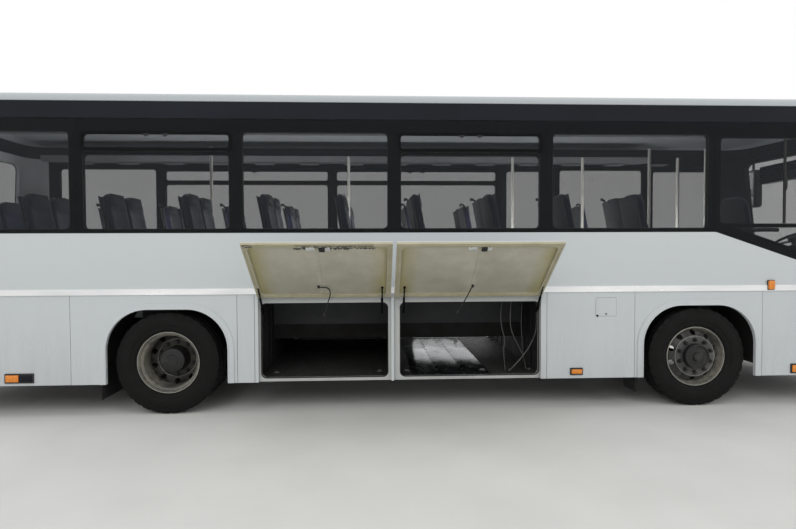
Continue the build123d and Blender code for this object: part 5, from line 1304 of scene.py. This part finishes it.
engineDark += [tubeAlong(route, radius, sides=4) for radius, route in engineHoses]
engineBits.append(spanBlock((-5.10, -4.94), (-0.72, -0.40), (1.12, 1.34), 0.03))
engineBits.append(rod((-5.02, -0.56, 1.33), (-5.02, -0.56, 1.375), 0.035, 20, 0.006))
for y in (-0.50, 0.46):
    engineDark.append(spanBlock((-5.06, -5.02), (y - 0.02, y + 0.02), (0.60, 1.20), 0.006))
finish(engineBits, "engineFittings", "coach", nutSteel)
finish(engineDark, "engineHoses", "coach", rubberSeal, 50)
print("engine dressed")

# ---- stage
leaveAll()
bpy.ops.mesh.primitive_plane_add(size=90, location=(0, 0, 0))
floor = bpy.context.object
floor.name = "studioFloor"
# smooth screed: dull pale grey, clouded in patches of half a metre
floorMaterial, floorTree, floorPlace = newMaterial("paleStudioFloor", Roughness=0.85)
floorTone = addNode(floorTree, "TexNoise", {"Vector": floorPlace, "Scale": 1.5, "Detail": 5.0})
addNode(floorTree, "ValToRGB", {0: floorTone}, ((0.3, "CFCFCC"), (0.7, "D6D6D3")), "Base Color")
floor.data.materials.append(floorMaterial)

world = bpy.data.worlds.new("studioWorld")
bpy.context.scene.world = world
world.use_nodes = True
worldTree = world.node_tree
worldBack = worldTree.nodes["Background"]
worldBack.inputs["Color"].default_value = (1, 1, 1, 1)
# the world is full white to the eye and in mirrors, but lights the stage at 0.62
rays = addNode(worldTree, "LightPath").outputs
seen = addNode(worldTree, "Math", {0: rays["Is Camera Ray"], 1: rays["Is Glossy Ray"]}, operation="MAXIMUM")
seenThrough = addNode(worldTree, "Math", {0: seen, 1: rays["Is Transmission Ray"]}, operation="MAXIMUM")
strength = addNode(worldTree, "MapRange", {0: seenThrough, 1: 0.0, 2: 1.0, 3: 0.62, 4: 1.0})
worldTree.links.new(strength.outputs[0], worldBack.inputs["Strength"])

studioLamps = (  # name, place, size, power
    ("keyLamp", (-5.0, -11.0, 8.0), 7.0, 420.0),
    ("fillLamp", (8.0, -9.0, 6.0), 6.0, 230.0),
    ("backLamp", (3.0, 11.0, 8.0), 7.0, 380.0),
    ("topLamp", (0.0, 0.0, 11.0), 9.0, 240.0),
    ("noseLamp", (13.0, 2.0, 5.0), 5.0, 210.0),
    ("tailLamp", (-13.0, -2.0, 5.0), 5.0, 210.0),
)
for name, place, size, power in studioLamps:
    aim = Vector((0, 0, 1.2)) - Vector(place)
    bpy.ops.object.light_add(type="AREA", location=place, rotation=aim.to_track_quat("-Z", "Y").to_euler())
    lamp = bpy.context.object
    lamp.name = name
    lamp.data.size = size
    lamp.data.energy = power
    lamp.visible_glossy = False

# daylight that the real panes let into the cabin: a long soft lamp low in the gangway, shining up
cabinLook = {"place": (-0.5, 0.0, 1.42), "length": 8.4, "width": 0.34, "power": 130.0}
bpy.ops.object.light_add(type="AREA", location=cabinLook["place"], rotation=(math.pi, 0, 0))
cabinLamp = bpy.context.object
cabinLamp.name = "cabinLamp"
cabinLamp.data.shape = "RECTANGLE"
cabinLamp.data.size, cabinLamp.data.size_y = cabinLook["length"], cabinLook["width"]
cabinLamp.data.energy = cabinLook["power"]
cabinLamp.visible_glossy = False
cabinLamp.visible_camera = False
print("stage set")
